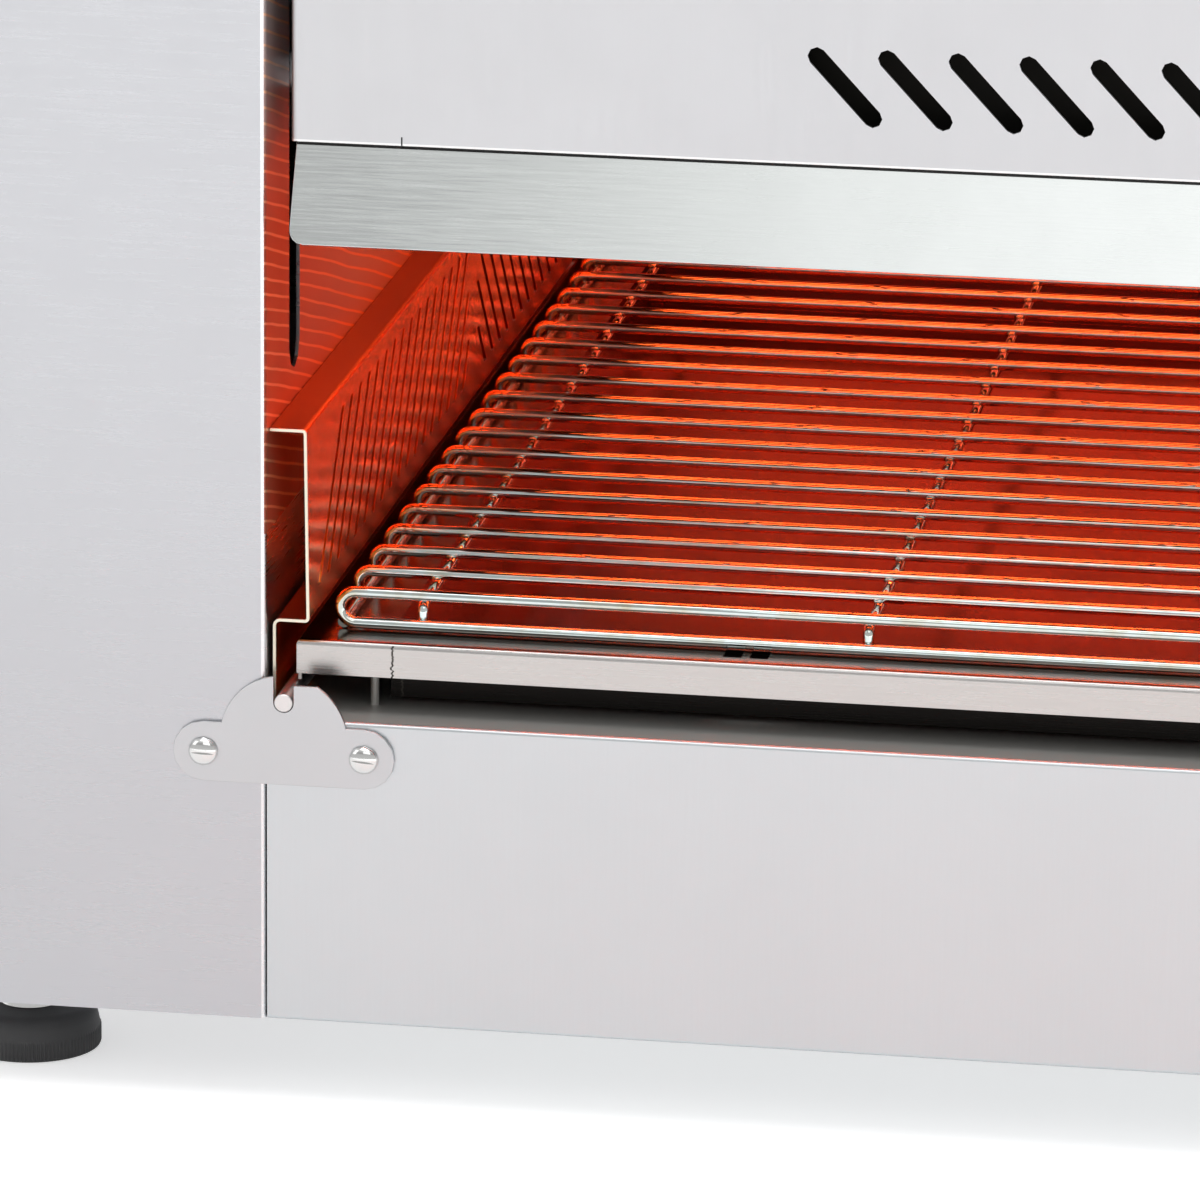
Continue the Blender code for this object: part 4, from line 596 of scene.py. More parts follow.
LINER_HEAT = 12.0
LINER_TINTS = ((0.16, 0.145, 0.135, 1), (0.10, 0.085, 0.075, 1))
LINER_OUTSIDE = (0.035, 0.033, 0.030, 1)
LINER_ROUGHNESS, LINER_OUTSIDE_ROUGHNESS = 0.26, 0.7


def liner_steel():
    """Polished towards the tubes, dull and dark on the outside."""
    liner = Finish("reflector_steel", (0.85, 0.82, 0.78), 0.14, 1.0)
    low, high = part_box("reflector_liner")
    outward = 0.0
    for axis, centre in zip("XYZ", (0.0, (low.y + high.y) / 2, low.z)):
        away = liner.math("SUBTRACT", liner.place(axis), centre)
        outward = liner.math("MULTIPLY_ADD", away, liner.normal(axis), outward)
    outside = liner.math("GREATER_THAN", outward, 0.0)
    heat = liner.noise(LINER_HEAT, detail=4.0)
    inside = liner.mix(liner.between(heat, *TINTS), *LINER_TINTS)
    liner.set(base_color=liner.mix(outside, inside, LINER_OUTSIDE),
              roughness=liner.blend_value(outside, LINER_ROUGHNESS, LINER_OUTSIDE_ROUGHNESS))
    return liner


REAR_FACING = -0.5
REAR_HEIGHTS = (0.13, 0.27)
# Painted light: red glow low down and shade at the top of the inner face
REAR_LOW_GLOW, REAR_TOP_SHADE = (0.85, 0.32, 0.24, 1), (0.08, 0.040, 0.034, 1)


def rear_steel():
    """Brushed outside; the inner face is browned by heat, with painted red glow low down and painted
    shade, darkest at its top.
    """
    rear = brushed_steel("rear_panel_steel", (0.69, 0.69, 0.715), 0.34, "Z")
    inner_face = rear.math("LESS_THAN", rear.normal("Y"), REAR_FACING)
    # Painted red glow low down, fading to painted shade at the top
    browned_with_painted_light = rear.mix(rear.between(rear.place("Z"), *map(up, REAR_HEIGHTS)), REAR_LOW_GLOW, REAR_TOP_SHADE)
    rear.set(base_color=rear.mix(inner_face, rear.so_far("Base Color"), browned_with_painted_light))
    return rear


STAINS, STAIN_RANGE = 60.0, (0.45, 0.75)
STAIN_TINTS = ((0.70, 0.78, 0.77, 1), (0.60, 0.57, 0.44, 1))
STAIN_ROUGH_RANGE, STAIN_ROUGHNESS = (0.3, 0.8), (0.03, 0.08)


def chrome_wire():
    """Chrome with slight stains of heat."""
    chrome = Finish("grid_chrome", (0.80, 0.79, 0.77), 0.06, 1.0)
    stains = chrome.noise(STAINS, detail=4.0, roughness=0.65)
    chrome.set(base_color=chrome.mix(chrome.between(stains, *STAIN_RANGE), *STAIN_TINTS),
               roughness=chrome.between(stains, *STAIN_ROUGH_RANGE, *STAIN_ROUGHNESS))
    return chrome


MOULD_GRAIN, MOULD_DEPTH, MOULD_ROUGHNESS = 2600.0, 0.00003, 0.06
DUST, DUST_RANGE, DUST_SHARE = 30.0, (0.4, 0.8), 1.35


def moulded(name, colour, roughness):
    """Plastic or ceramic with a fine grain and a little dust."""
    plastic = Finish(name, colour, roughness)
    grain = plastic.noise(MOULD_GRAIN, detail=2.0)
    dust = plastic.noise(DUST, detail=4.0, roughness=0.6)
    dusty = plastic.mix(plastic.between(dust, *DUST_RANGE), (*colour, 1), shade(colour, DUST_SHARE))
    plastic.set(base_color=dusty, roughness=plastic.between(
        grain, *GRAIN, roughness - MOULD_ROUGHNESS, roughness + MOULD_ROUGHNESS))
    plastic.bump(grain, MOULD_DEPTH)
    return plastic


WOOL_FREQUENCIES, WOOL_DEPTH = (420.0, 420.0, 900.0), 0.0008
WOOL_TINTS = ((0.66, 0.61, 0.48, 1), (0.86, 0.83, 0.74, 1))


def wool():
    """Pressed fibres of the insulation board."""
    board = Finish("insulation_board_wool", (0.80, 0.77, 0.66), 0.95)
    fibres = board.noise(WOOL_FREQUENCIES, detail=5.0, roughness=0.75)
    board.set(base_color=board.mix(board.between(fibres, *GRAIN), *WOOL_TINTS))
    board.bump(fibres, WOOL_DEPTH)
    return board


COIL_TURNS_PER_METRE = 420.0
COIL_TINTS = ((1.0, 0.055, 0.008, 1), (1.0, 0.15, 0.026, 1))
GLOW = 19.0


def quartz():
    """Glowing tube: a coil shows as bright bands through the milky quartz."""
    tube = Finish("glowing_quartz", (0.9, 0.35, 0.18), 0.12)
    turns = tube.math("MULTIPLY", tube.place("X"), 2 * math.pi * COIL_TURNS_PER_METRE)
    bands = tube.between(tube.math("SINE", turns), -1.0, 1.0)
    tube.set(emission_color=tube.mix(bands, *COIL_TINTS), emission_strength=GLOW)
    return tube


# Name, colour, roughness, and the way that the brushing runs, with its streaks where they differ
BRUSHED = {
    "panel": ("panel_steel", (0.645, 0.672, 0.69), 0.34, "Z"),
    "bracket": ("bracket_steel", (0.62, 0.625, 0.64), 0.38, "X", 0.01),
    "gloss": ("base_top_steel", (0.60, 0.59, 0.56), 0.34, "X"),
    "bright": ("bright_steel", (0.78, 0.78, 0.77), 0.12, "Z", 0.02),
    "rod": ("rod_steel", (0.80, 0.77, 0.76), 0.42, "Y", 0.02),
}
MOULDED = {
    "plastic": ("moulded_black", (0.018, 0.018, 0.019), 0.38),
    "housing": ("housing_black", (0.03, 0.03, 0.03), 0.55),
    "foot": ("foot_charcoal", (0.075, 0.075, 0.076), 0.50),
    "amber": ("amber_lens_glow", (0.95, 0.38, 0.06), 0.14),
    "print": ("dial_print_grey", (0.05, 0.05, 0.055), 0.55),
    "pointer": ("pointer_white", (0.80, 0.80, 0.78), 0.45),
    "ceramic": ("ceramic_white", (0.80, 0.78, 0.74), 0.42),
}
OTHERS = {
    "column": column_steel,
    "hood": hood_steel,
    "visor": visor_steel,
    "tray": tray_steel,
    "liner": liner_steel,
    "rear": rear_steel,
    "guard": guard_steel,
    "chrome": chrome_wire,
    "wool": wool,
    "quartz": quartz,
}
BASE_TOP_METALLIC = 0.30
LAMP_COLOUR, LAMP_GLOW = (1.0, 0.35, 0.05, 1.0), 0.45


def make_materials():
    made = {key: brushed_steel(*values) for key, values in BRUSHED.items()}
    made.update((key, moulded(*values)) for key, values in MOULDED.items())
    made.update((key, make()) for key, make in OTHERS.items())
    made["gloss"].set(metallic=BASE_TOP_METALLIC)
    made["amber"].set(emission_color=LAMP_COLOUR, emission_strength=LAMP_GLOW)
    return {key: finish.material for key, finish in made.items()}


material = make_materials()


# Pieces that keep the node's shape, with broken edges

def on_hood_foot(first, second):
    """Outer lower edge of the hood's front."""
    def outer(point):
        return abs(point.z - HOOD_LOW.z) < NEAR and abs(point.y - HOOD_LOW.y) < NEAR
    return outer(first) and outer(second)


def on_tray_rim(first, second):
    """Outer upper edge of the tray's rim."""
    def outer(point):
        on_side = abs(abs(point.x) - TRAY_HIGH.x) < NEAR
        on_end = min(abs(point.y - TRAY_LOW.y), abs(point.y - TRAY_HIGH.y)) < NEAR
        return abs(point.z - TRAY_HIGH.z) < NEAR and (on_side or on_end)
    return outer(first) and outer(second)


HOOD_FOOT_BEND = 0.0009
ROUNDED = {"drip_tray": [(on_tray_rim, RIM_BEND)], "hood_shell": [(on_hood_foot, HOOD_FOOT_BEND)]}
UNBROKEN = ("left_column_cover", "right_column_cover", "left_column_wall", "right_column_wall")

# Materials and the nodes in them: those that both columns have, and the others
PAIRED = {
    "column": ["column_wall", "column_cover", "column_floor"],
    "bracket": ["rod_bracket"],
    "guard": ["side_guard"],
    "bright": ["front_guide_rod", "rear_guide_rod", "gas_strut_rod"],
    "housing": ["gas_strut_cylinder"],
    "panel": ["hood_carriage"],
}
SINGLE = {
    "panel": ["lower_front_panel", "base_bottom_pan"],
    "rear": ["back_panel"],
    "gloss": ["base_top_sheet"],
    "tray": ["drip_tray"],
    "hood": ["hood_shell", "hood_lid", "hood_rear_panel"],
    "visor": ["visor"],
    "liner": ["reflector_liner"],
    "wool": ["insulation_board"],
    "housing": ["front_zone_regulator", "rear_zone_regulator", "timer_unit", "switch_housing"],
    "plastic": ["power_rocker", "cable_gland"],
    "ceramic": ["terminal_block"],
}


def plain_pieces():
    for key, names in PAIRED.items():
        for side in SIDES:
            for name in names:
                node = f"{side}_{name}"
                dressed(node, key, edge=0.0 if node in UNBROKEN else EDGE)
    for key, names in SINGLE.items():
        for name in names:
            dressed(name, key, rounded=ROUNDED.get(name, ()))


# Pieces that are built again, finer than the node

WIRES = 22
WIRE_BEND = 0.0040
WIRE_FOOT = WIRE_RADIUS / 2
WELD_DEPTH = 0.0004
HAIRPIN_STEPS = 12
GRID_FRAME_IN = 0.0210
GRID_RUNNERS = 4
GRID_RUNNER_IN = 0.0477
GRID_RUNNER_BEND = 1.2 * WIRE_RADIUS


def wire_grid():
    """The grid again, with round wires and smooth bends."""
    low_corner, high_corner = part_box("wire_grid")
    low = low_corner.z + WIRE_RADIUS
    top = high_corner.z - WIRE_RADIUS
    y_first, y_last = low_corner.y + WIRE_RADIUS, high_corner.y - WIRE_RADIUS
    bm = bmesh.new()
    loop_radius = (top - low) / 2
    loop_centre = high_corner.x - WIRE_RADIUS - loop_radius
    for y in (y_first, y_last):
        ends = []
        for side, start in ((1, -90), (-1, 90)):
            for step in range(HAIRPIN_STEPS + 1):
                angle = math.radians(start + 180 * step / HAIRPIN_STEPS)
                ends.append((side * loop_centre + loop_radius * math.cos(angle), y,
                             low + loop_radius + loop_radius * math.sin(angle)))
        add_wire(bm, ends, closed=True)
    x_frame = HALF_CAVITY - GRID_FRAME_IN
    foot = low + WIRE_FOOT
    pitch = (y_last - y_first) / (WIRES - 1)
    for wire in range(1, WIRES - 1):
        y = y_first + wire * pitch
        corners = [(-x_frame, y, foot), (-x_frame, y, top), (x_frame, y, top), (x_frame, y, foot)]
        add_wire(bm, round_path(corners, WIRE_BEND))
    for x in (-x_frame, x_frame):
        add_wire(bm, [(x, y_first, low), (x, y_last, low)])
    first = HALF_CAVITY - GRID_RUNNER_IN
    sink = 2 * WIRE_RADIUS - WELD_DEPTH
    under = top - 2 * WIRE_RADIUS - GAP
    for index in range(GRID_RUNNERS):
        x = -first + index * 2 * first / (GRID_RUNNERS - 1)
        y_start, y_end = y_first + sink, y_last - sink
        corners = [(x, y_start, low), (x, y_start, under), (x, y_end, under), (x, y_end, low)]
        add_wire(bm, round_path(corners, GRID_RUNNER_BEND))
    finished("round_wire_grid", bm, "chrome", "wire_grid")


PAD_RADIUS = 0.0245
PAD_HEIGHT = 0.0182
PAD_RIBS = 110
PAD_STEPS = 4
PAD_GROOVE_SHARE = 0.982
PAD_PROFILE_SHARES = ((0.94, 0.0), (0.985, 0.02), (1.0, 0.06), (1.0, 0.37), (0.985, 0.41),
                      (0.975, 0.47), (0.955, 0.60), (0.92, 0.72), (0.86, 0.79), (0.74, 0.83),
                      (0.44, 0.84), (0.42, 0.85))
PAD_GRIP_SHARES = (0.05, 0.38)
COLLAR_RADIUS = 0.0110
COLLAR_TOP_RADIUS = 0.0078
COLLAR_EDGE = 0.0006
COLLAR_SINK = 0.0012
STUD_RADIUS = 0.0050


def levelling_foot(node):
    """Ribbed pad with a steel collar and stud."""
    low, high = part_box(node)
    axis = ((low.x + high.x) / 2, (low.y + high.y) / 2, 0.0)

    def ribs(index, distance):
        gripped = PAD_GRIP_SHARES[0] < distance / PAD_HEIGHT < PAD_GRIP_SHARES[1]
        return PAD_GROOVE_SHARE if gripped and index % PAD_STEPS >= PAD_STEPS // 2 else 1.0

    pad = bmesh.new()
    profile = [(PAD_RADIUS * radius, PAD_HEIGHT * height) for radius, height in PAD_PROFILE_SHARES]
    add_turned(pad, profile, axis, (0, 0, 1), sides=PAD_RIBS * PAD_STEPS, radius_share=ribs)
    finished(f"{node}_pad", pad, "foot", node)
    stud = bmesh.new()
    top = BODY_LOW + COLLAR_SINK
    foot = PAD_HEIGHT * PAD_PROFILE_SHARES[-2][1]
    profile = [(COLLAR_RADIUS - COLLAR_EDGE, foot), (COLLAR_RADIUS, foot + COLLAR_EDGE),
               (COLLAR_TOP_RADIUS, top - COLLAR_EDGE), (COLLAR_TOP_RADIUS - COLLAR_EDGE, top),
               (STUD_RADIUS, top), (STUD_RADIUS, high.z)]
    add_turned(stud, profile, axis, (0, 0, 1))
    finished(f"{node}_stud", stud, "bright", node, in_place=False)


SCREW_RADIUS = 0.0050
SCREW_RISE = 0.0027
SCREW_SLOT = 0.0008
SCREW_SLOT_DEPTH = 0.0011
SCREW_ROWS = 9
SCREW_ROW_SHARE = 0.999
SCREW_COLUMNS = 24
SCREW_TILTS = {"outer": 2.0, "inner": 5.0}


def screw_head(node, tilt):
    """Domed head with one slot, laid out in rows that run along the slot."""
    low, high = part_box(node)
    centre = ((low.x + high.x) / 2, low.y + SCREW_RISE, (low.z + high.z) / 2)
    half = SCREW_SLOT / 2
    rows = [half + (SCREW_RADIUS - half) * (1 - math.cos(math.pi / 2 * step / SCREW_ROWS))
            for step in range(SCREW_ROWS, -1, -1)]
    rows = [(SCREW_ROW_SHARE * row, False) for row in rows] + [(half, True)]
    rows += [(-distance, sunk) for distance, sunk in reversed(rows)]
    turn = Matrix.Rotation(math.radians(-tilt), 2)
    bm = bmesh.new()
    grid = []
    for distance, sunk in rows:
        chord = math.sqrt(max(SCREW_RADIUS ** 2 - distance ** 2, 0.0))
        line = []
        for column in range(SCREW_COLUMNS + 1):
            reach = chord * math.sin(math.pi * (column / SCREW_COLUMNS - 0.5))
            share = max(0.0, 1 - (reach ** 2 + distance ** 2) / SCREW_RADIUS ** 2)
            rise = SCREW_RISE * math.sqrt(share)
            if sunk:
                rise = min(rise, SCREW_RISE - SCREW_SLOT_DEPTH)
            x, z = turn @ Vector((reach, distance))
            line.append(bm.verts.new((centre[0] + x, centre[1] - rise, centre[2] + z)))
        grid.append(line)
    for upper, lower in zip(grid, grid[1:]):
        for column in range(SCREW_COLUMNS):
            bm.faces.new((upper[column], upper[column + 1], lower[column + 1], lower[column]))
    finished(f"{node}_head", bm, "bright", node)


def rounded_rod(radius, edge, start, end):
    """Profile of a rod with bevelled ends."""
    return [(radius - edge, start), (radius, start + edge), (radius, end - edge), (radius - edge, end)]


ROD_RADIUS = 0.0031
ROD_EDGE = 0.0003


def runner_rod(node):
    low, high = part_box(node)
    centre = (low + high) / 2
    bm = bmesh.new()
    profile = rounded_rod(ROD_RADIUS, ROD_EDGE, low.y, high.y)
    add_turned(bm, profile, (centre.x, 0, centre.z), (0, 1, 0))
    finished(f"{node}_round", bm, "rod", node)


TUBES = 4
TUBE_RADIUS = 0.0060
CAP_RADIUS = 0.0090
CAP_LENGTH = 0.0080
CAP_EDGE = 0.0010


def heating_tube(node):
    """Quartz tube with a ceramic cap at each end."""
    low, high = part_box(node)
    centre = (low + high) / 2
    tube = bmesh.new()
    reach = high.x - CAP_LENGTH
    profile = [(TUBE_RADIUS, -reach), (TUBE_RADIUS, reach)]
    add_turned(tube, profile, (0, centre.y, centre.z), (1, 0, 0))
    finished(f"{node}_quartz", tube, "quartz", node)
    caps = bmesh.new()
    for side in SIDES.values():
        profile = rounded_rod(CAP_RADIUS, CAP_EDGE, reach, high.x)
        add_turned(caps, profile, (0, centre.y, centre.z), (side, 0, 0))
    finished(f"{node}_caps", caps, "ceramic", node, in_place=False)


FENDER_RODS = 9
FENDER_BARS = 2
FENDER_RADIUS = 0.0018
FENDER_INSET = 0.0350


def tube_fender():
    """Round rods under the tubes, with bars across them."""
    low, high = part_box("tube_fender")
    bm = bmesh.new()
    z = low.z + FENDER_RADIUS
    reach = high.x + GAP - FENDER_INSET
    for rod in range(FENDER_RODS):
        x = reach * (2 * rod / (FENDER_RODS - 1) - 1)
        add_wire(bm, [(x, low.y, z), (x, high.y, z)], FENDER_RADIUS)
    above = high.z - FENDER_RADIUS
    for bar in range(FENDER_BARS):
        y = low.y + (2 * bar + 1) * (high.y - low.y) / (2 * FENDER_BARS)
        add_wire(bm, [(low.x, y, above), (high.x, y, above)], FENDER_RADIUS)
    finished("round_tube_fender", bm, "chrome", "tube_fender")


HANDLE_RADIUS = 0.0075
HANDLE_EDGE = 0.0025
HANDLE_EDGE_STEPS = 6
HANDLE_SIDES = 12
POST_RADIUS = 0.0080
POST_FOOT_RADIUS = 0.0120
POST_FOOT = 0.0040
POST_EDGE = 0.0008
POST_SPACING = 0.340


def hood_handle():
    """Round bar with softened ends on two turned posts; it stays inside the node's flats."""
    low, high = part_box("hood_handle")
    share = math.cos(math.pi / HANDLE_SIDES)
    y = low.y + HANDLE_RADIUS * share
    z = (low.z + high.z) / 2
    angles = [math.pi / 2 * step / HANDLE_EDGE_STEPS for step in range(HANDLE_EDGE_STEPS + 1)]
    end = [((HANDLE_RADIUS - HANDLE_EDGE * (1 - math.cos(angle))) * share,
            high.x - HANDLE_EDGE * (1 - math.sin(angle))) for angle in angles]
    bm = bmesh.new()
    profile = [(radius, -distance) for radius, distance in end[::-1]] + end
    add_turned(bm, profile, (0, y, z), (1, 0, 0))
    for side in SIDES.values():
        profile = [(POST_FOOT_RADIUS, 0), (POST_FOOT_RADIUS, POST_FOOT - POST_EDGE),
                   (POST_FOOT_RADIUS - POST_EDGE, POST_FOOT), (POST_RADIUS, POST_FOOT),
                   (POST_RADIUS, high.y - y)]
        add_turned(bm, profile, (side * POST_SPACING / 2, high.y, z), (0, -1, 0))
    finished("turned_hood_handle", bm, "bright", "hood_handle")


KNOB_RADIUS = 0.0220
KNOB_SKIRT = 0.0050
KNOB_LENGTH = 0.0250
KNOB_CLEAR = 0.0012
KNOB_EDGE = 0.0009
KNOB_SHOULDER = 0.3 * KNOB_EDGE
KNOB_FLUTES = 24
KNOB_SIDES = 8 * KNOB_FLUTES
FLUTE_DEPTH = 0.022
FLUTE_POWER = 3
GRIP_REACH = 0.0185
GRIP_HALF_WIDTH = 0.00475
GRIP_SIDES = 72
GRIP_STEPS = 5
GRIP_EDGE = 1.6 * KNOB_EDGE
GRIP_FLAT_POWER, GRIP_END_POWER = 0.30, 0.62
POINTER_HALF = 0.0007
POINTER_START = 0.0040
POINTER_END = GRIP_REACH - 2.2 * KNOB_EDGE
POINTER_PROUD = 0.0002


def rounded_bar(angle, half_width, reach):
    """Point on a bar's outline with rounded ends."""
    wide, tall = math.cos(angle), math.sin(angle)
    return (math.copysign(abs(wide) ** GRIP_FLAT_POWER, wide) * half_width,
            math.copysign(abs(tall) ** GRIP_END_POWER, tall) * reach)


def control_knob(node):
    """Fluted skirt with an upright grip and a white pointer."""
    low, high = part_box(node)
    x, z = (low.x + high.x) / 2, (low.z + high.z) / 2
    foot = FACE_Y - KNOB_CLEAR

    def flutes(index, distance):
        wave = math.cos(2 * math.pi * index * KNOB_FLUTES / KNOB_SIDES)
        return 1 - FLUTE_DEPTH * (0.5 + 0.5 * wave) ** FLUTE_POWER

    bm = bmesh.new()
    skirt = [(KNOB_RADIUS - KNOB_EDGE / 2, 0.0), (KNOB_RADIUS, KNOB_EDGE / 2),
             (KNOB_RADIUS, KNOB_SKIRT - KNOB_EDGE),
             (KNOB_RADIUS - KNOB_SHOULDER, KNOB_SKIRT - KNOB_SHOULDER),
             (KNOB_RADIUS - KNOB_EDGE, KNOB_SKIRT)]
    add_turned(bm, skirt, (x, foot, z), (0, -1, 0), sides=KNOB_SIDES, radius_share=flutes)
    front = KNOB_LENGTH - POINTER_PROUD
    angles = [math.pi / 2 * step / GRIP_STEPS for step in range(GRIP_STEPS + 1)]
    rings = [(0.0, KNOB_SKIRT - KNOB_EDGE)]
    rings += [(GRIP_EDGE * (1 - math.cos(angle)), front - GRIP_EDGE * (1 - math.sin(angle)))
              for angle in angles]
    loops = []
    for inset, distance in rings:
        outline = [rounded_bar(2 * math.pi * side / GRIP_SIDES, GRIP_HALF_WIDTH - inset,
                               GRIP_REACH - inset) for side in range(GRIP_SIDES)]
        loops.append([Vector((x + wide, foot - distance, z + tall)) for wide, tall in outline])
    add_loops(bm, loops)
    finished(f"{node}_grip", bm, "plastic", node)
    mark = bmesh.new()
    add_block(mark, (x - POINTER_HALF, foot - KNOB_LENGTH, z + POINTER_START),
              (x + POINTER_HALF, foot - front + POINTER_PROUD, z + POINTER_END))
    finished(f"{node}_pointer", mark, "pointer", node, in_place=False)


DIAL_TICKS = 11
DIAL_SWEEP = 270.0
DIAL_INNER, DIAL_OUTER = 0.0242, 0.0290
LONG_TICK_EVERY = 5
TICK_HALF = 0.0006
PRINT_THICK = 0.00012


def dial_marks(node, carrier):
    """Plain tick marks printed around a knob."""
    low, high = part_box(node)
    x, z = (low.x + high.x) / 2, (low.z + high.z) / 2
    bm = bmesh.new()
    for tick in range(DIAL_TICKS):
        angle = math.radians(DIAL_SWEEP * (tick / (DIAL_TICKS - 1) - 0.5))
        out = Vector((math.sin(angle), 0, math.cos(angle)))
        side = Vector((out.z, 0, -out.x)) * TICK_HALF
        reach = DIAL_OUTER if tick % LONG_TICK_EVERY == 0 else (DIAL_INNER + DIAL_OUTER) / 2
        corners = [out * DIAL_INNER - side, out * DIAL_INNER + side,
                   out * reach + side, out * reach - side]
        add_loops(bm, [[Vector((x, y, z)) + corner for corner in corners]
                       for y in (FACE_Y, FACE_Y - PRINT_THICK)])
    finished(f"{node}_dial_marks", bm, "print", carrier, in_place=False)


BEZEL_RADIUS = 0.0070
BEZEL_EDGE = 0.0006
BEZEL_LIP = 0.0005
BEZEL_SIDE_SHARE, BEZEL_EDGE_SHARE, BEZEL_INNER_SHARE = 0.55, 0.9, 0.7
LENS_RADIUS = 0.0045
LENS_DOME = 0.0022
LENS_DOME_SHARE = 0.97
LAMP_STEPS = 7


def pilot_lamp(node):
    """Domed amber lens in a bright ring."""
    low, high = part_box(node)
    axis = ((low.x + high.x) / 2, FACE_Y, (low.z + high.z) / 2)
    foot = FACE_Y - low.y - LENS_DOME
    angles = [math.pi / 2 * step / LAMP_STEPS * LENS_DOME_SHARE for step in range(LAMP_STEPS + 1)]
    lens = bmesh.new()
    profile = [(LENS_RADIUS, FACE_Y - high.y)]
    profile += [(LENS_RADIUS * math.cos(angle), foot + LENS_DOME * math.sin(angle)) for angle in angles]
    add_turned(lens, profile, axis, (0, -1, 0))
    finished(f"{node}_lens", lens, "amber", node)
    ring = bmesh.new()
    inner = LENS_RADIUS + NEAR
    profile = [(BEZEL_RADIUS, 0.0), (BEZEL_RADIUS, foot * BEZEL_SIDE_SHARE),
               (BEZEL_RADIUS - BEZEL_EDGE, foot * BEZEL_EDGE_SHARE), (inner + BEZEL_LIP, foot),
               (inner, foot * BEZEL_INNER_SHARE)]
    add_turned(ring, profile, axis, (0, -1, 0))
    finished(f"{node}_bezel", ring, "bright", node, in_place=False)


def fine_pieces():
    for node in ("front_zone_knob", "rear_zone_knob", "timer_knob"):
        control_knob(node)
        dial_marks(node, "right_column_cover")
    for node in ("front_zone_lamp", "rear_zone_lamp"):
        pilot_lamp(node)
    wire_grid()
    tube_fender()
    hood_handle()
    for side in SIDES:
        runner_rod(f"{side}_runner_rod")
        for place, tilt in SCREW_TILTS.items():
            screw_head(f"{side}_{place}_bracket_screw", tilt)
        for end in ("front", "rear"):
            levelling_foot(f"{end}_{side}_foot")
    for number in range(1, TUBES + 1):
        heating_tube(f"heating_tube_{number}")


# Studio. Where the floor is seen by the camera, or in metal and glass, it has a light of its own:
# FAR runs along Y, BESIDE along X to the machine's right, and only in FRONT of it.

FLOOR_SIZE = 14.0
FLOOR_TONE, FLOOR_TINTS = 1.5, ((0.80, 0.80, 0.80, 1), (0.84, 0.84, 0.84, 1))
FLOOR_FAR = (-0.7, -3.2, 0.36, 1.10)
FLOOR_BESIDE = (0.25, 0.60, 0.0, 0.55)
FLOOR_FRONT = (-0.31, -0.37)
FLOOR_CAMERA_LIGHT = 0.18


def floor():
    bm = bmesh.new()
    half = FLOOR_SIZE / 2
    corners = [(-half, -half), (half, -half), (half, half), (-half, half)]
    bm.faces.new([bm.verts.new((x, y, 0.0)) for x, y in corners])
    piece = new_piece("studio_floor", bm, smooth=False)
    pale = Finish("pale_floor", (0.82, 0.82, 0.82), 0.9)
    path = pale.nodes.new("ShaderNodeLightPath")
    seen = pale.math("MAXIMUM", path.outputs["Is Camera Ray"], path.outputs["Is Glossy Ray"])
    seen = pale.math("MAXIMUM", seen, path.outputs["Is Transmission Ray"])
    far = pale.between(pale.place("Y"), *FLOOR_FAR)
    beside = pale.both(pale.between(pale.place("X"), *FLOOR_BESIDE),
                       pale.between(pale.place("Y"), *FLOOR_FRONT))
    more = pale.math("MULTIPLY", path.outputs["Is Camera Ray"], FLOOR_CAMERA_LIGHT)
    level = pale.math("ADD", pale.math("ADD", far, beside), more)
    pale.set(base_color=pale.mix(pale.noise(FLOOR_TONE, detail=2.0), *FLOOR_TINTS),
             emission_color=WHITE, emission_strength=pale.math("MULTIPLY", seen, level))
    piece.data.materials.append(pale.material)


# Pairs of height and level of grey. Height is 0 at the horizon and below, and 1 straight up
SKY = ((0.02, 0.15), (0.36, 0.16), (0.60, 0.52), (1.00, 0.90))
BACKDROP = ((0.00, 0.62), (0.32, 0.58), (0.48, 0.36), (0.60, 0.52), (1.00, 0.90))


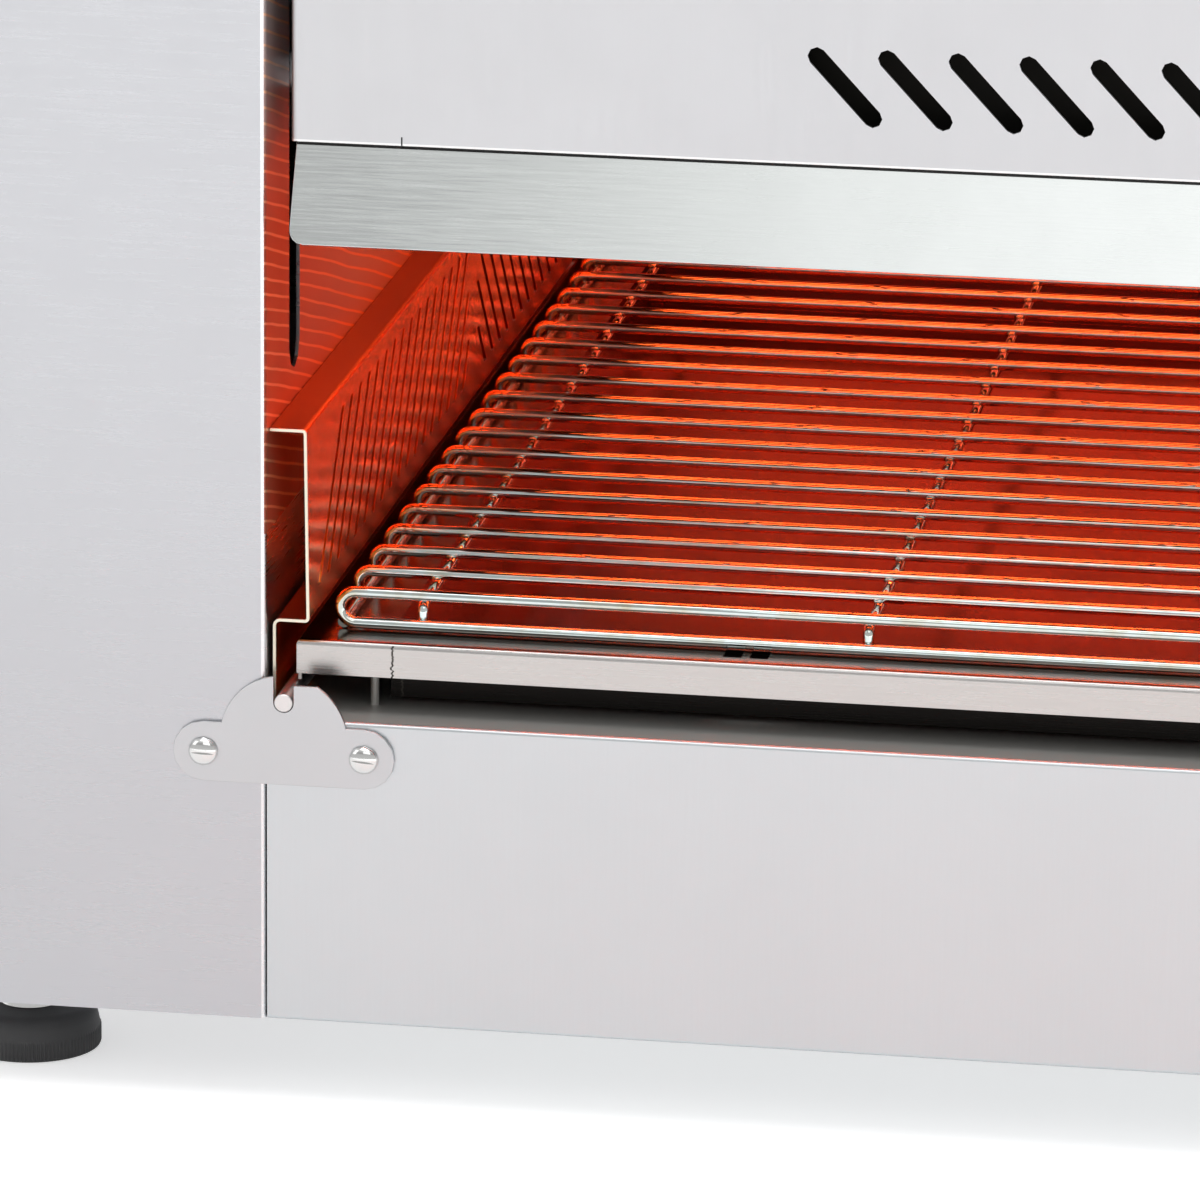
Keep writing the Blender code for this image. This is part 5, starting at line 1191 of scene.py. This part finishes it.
def world():
    """A sky that lights, a paler backdrop in reflections, and white for the camera."""
    sky = bpy.data.worlds.new("studio")
    bpy.context.scene.world = sky
    sky.use_nodes = True
    tree = Nodes(sky.node_tree)

    def grey_ramp(stops):
        ramp = tree.nodes.new("ShaderNodeValToRGB")
        elements = ramp.color_ramp.elements
        for _ in stops[2:]:
            elements.new(1.0)
        for element, (place, level) in zip(elements, stops):
            element.position = place
            element.color = (level, level, level, 1)
        tree.feed(ramp.inputs["Fac"], tree.part("Generated", "Z"))
        return ramp.outputs["Color"]

    path = tree.nodes.new("ShaderNodeLightPath")
    shown = tree.mix(path.outputs["Is Glossy Ray"], grey_ramp(SKY), grey_ramp(BACKDROP))
    shown = tree.mix(path.outputs["Is Camera Ray"], shown, WHITE)
    background = tree.nodes["Background"]
    tree.feed(background.inputs["Color"], shown)
    background.inputs["Strength"].default_value = 1.0


# Name, place, the point that it aims at, width and height, and radiance
SOFTBOXES = (
    ("key_softbox", (0.32, -1.95, 1.50), (0.0, -0.3, 0.3), (1.6, 0.9), 0.95),
    ("top_softbox", (-0.10, -0.95, 2.30), (0.0, -0.5, 0.0), (1.8, 0.9), 2.2),
    ("fill_softbox", (-2.2, -1.2, 1.6), (0.0, 0.0, 0.3), (1.4, 1.4), 1.0),
)


def softbox(name, place, target, size, radiance):
    light = bpy.data.lights.new(name, "AREA")
    light.shape = "RECTANGLE"
    light.size, light.size_y = size
    light.energy = radiance * math.pi * size[0] * size[1]
    box = bpy.data.objects.new(name, light)
    box.location = place
    aim = Vector(target) - Vector(place)
    box.rotation_euler = aim.to_track_quat("-Z", "Y").to_euler()
    bpy.context.scene.collection.objects.link(box)


def camera():
    data = bpy.data.cameras.new("photo_camera")
    data.sensor_fit = "HORIZONTAL"
    data.sensor_width = SENSOR_WIDTH
    data.lens = CAMERA_FOCAL_PIXELS / PHOTO_WIDTH_PIXELS * SENSOR_WIDTH
    data.clip_start, data.clip_end = CAMERA_CLIP
    eye = bpy.data.objects.new("photo_camera", data)
    bpy.context.scene.collection.objects.link(eye)
    right = CAMERA_RIGHT.normalized()
    upward = (CAMERA_UP - right * CAMERA_UP.dot(right)).normalized()
    turn = Matrix((right, upward, right.cross(upward))).transposed()
    eye.matrix_world = Matrix.Translation(CAMERA_PLACE) @ turn.to_4x4()
    bpy.context.scene.camera = eye


plain_pieces()
fine_pieces()
floor()
world()
for values in SOFTBOXES:
    softbox(*values)
camera()
bpy.context.scene.view_settings.view_transform = "Standard"
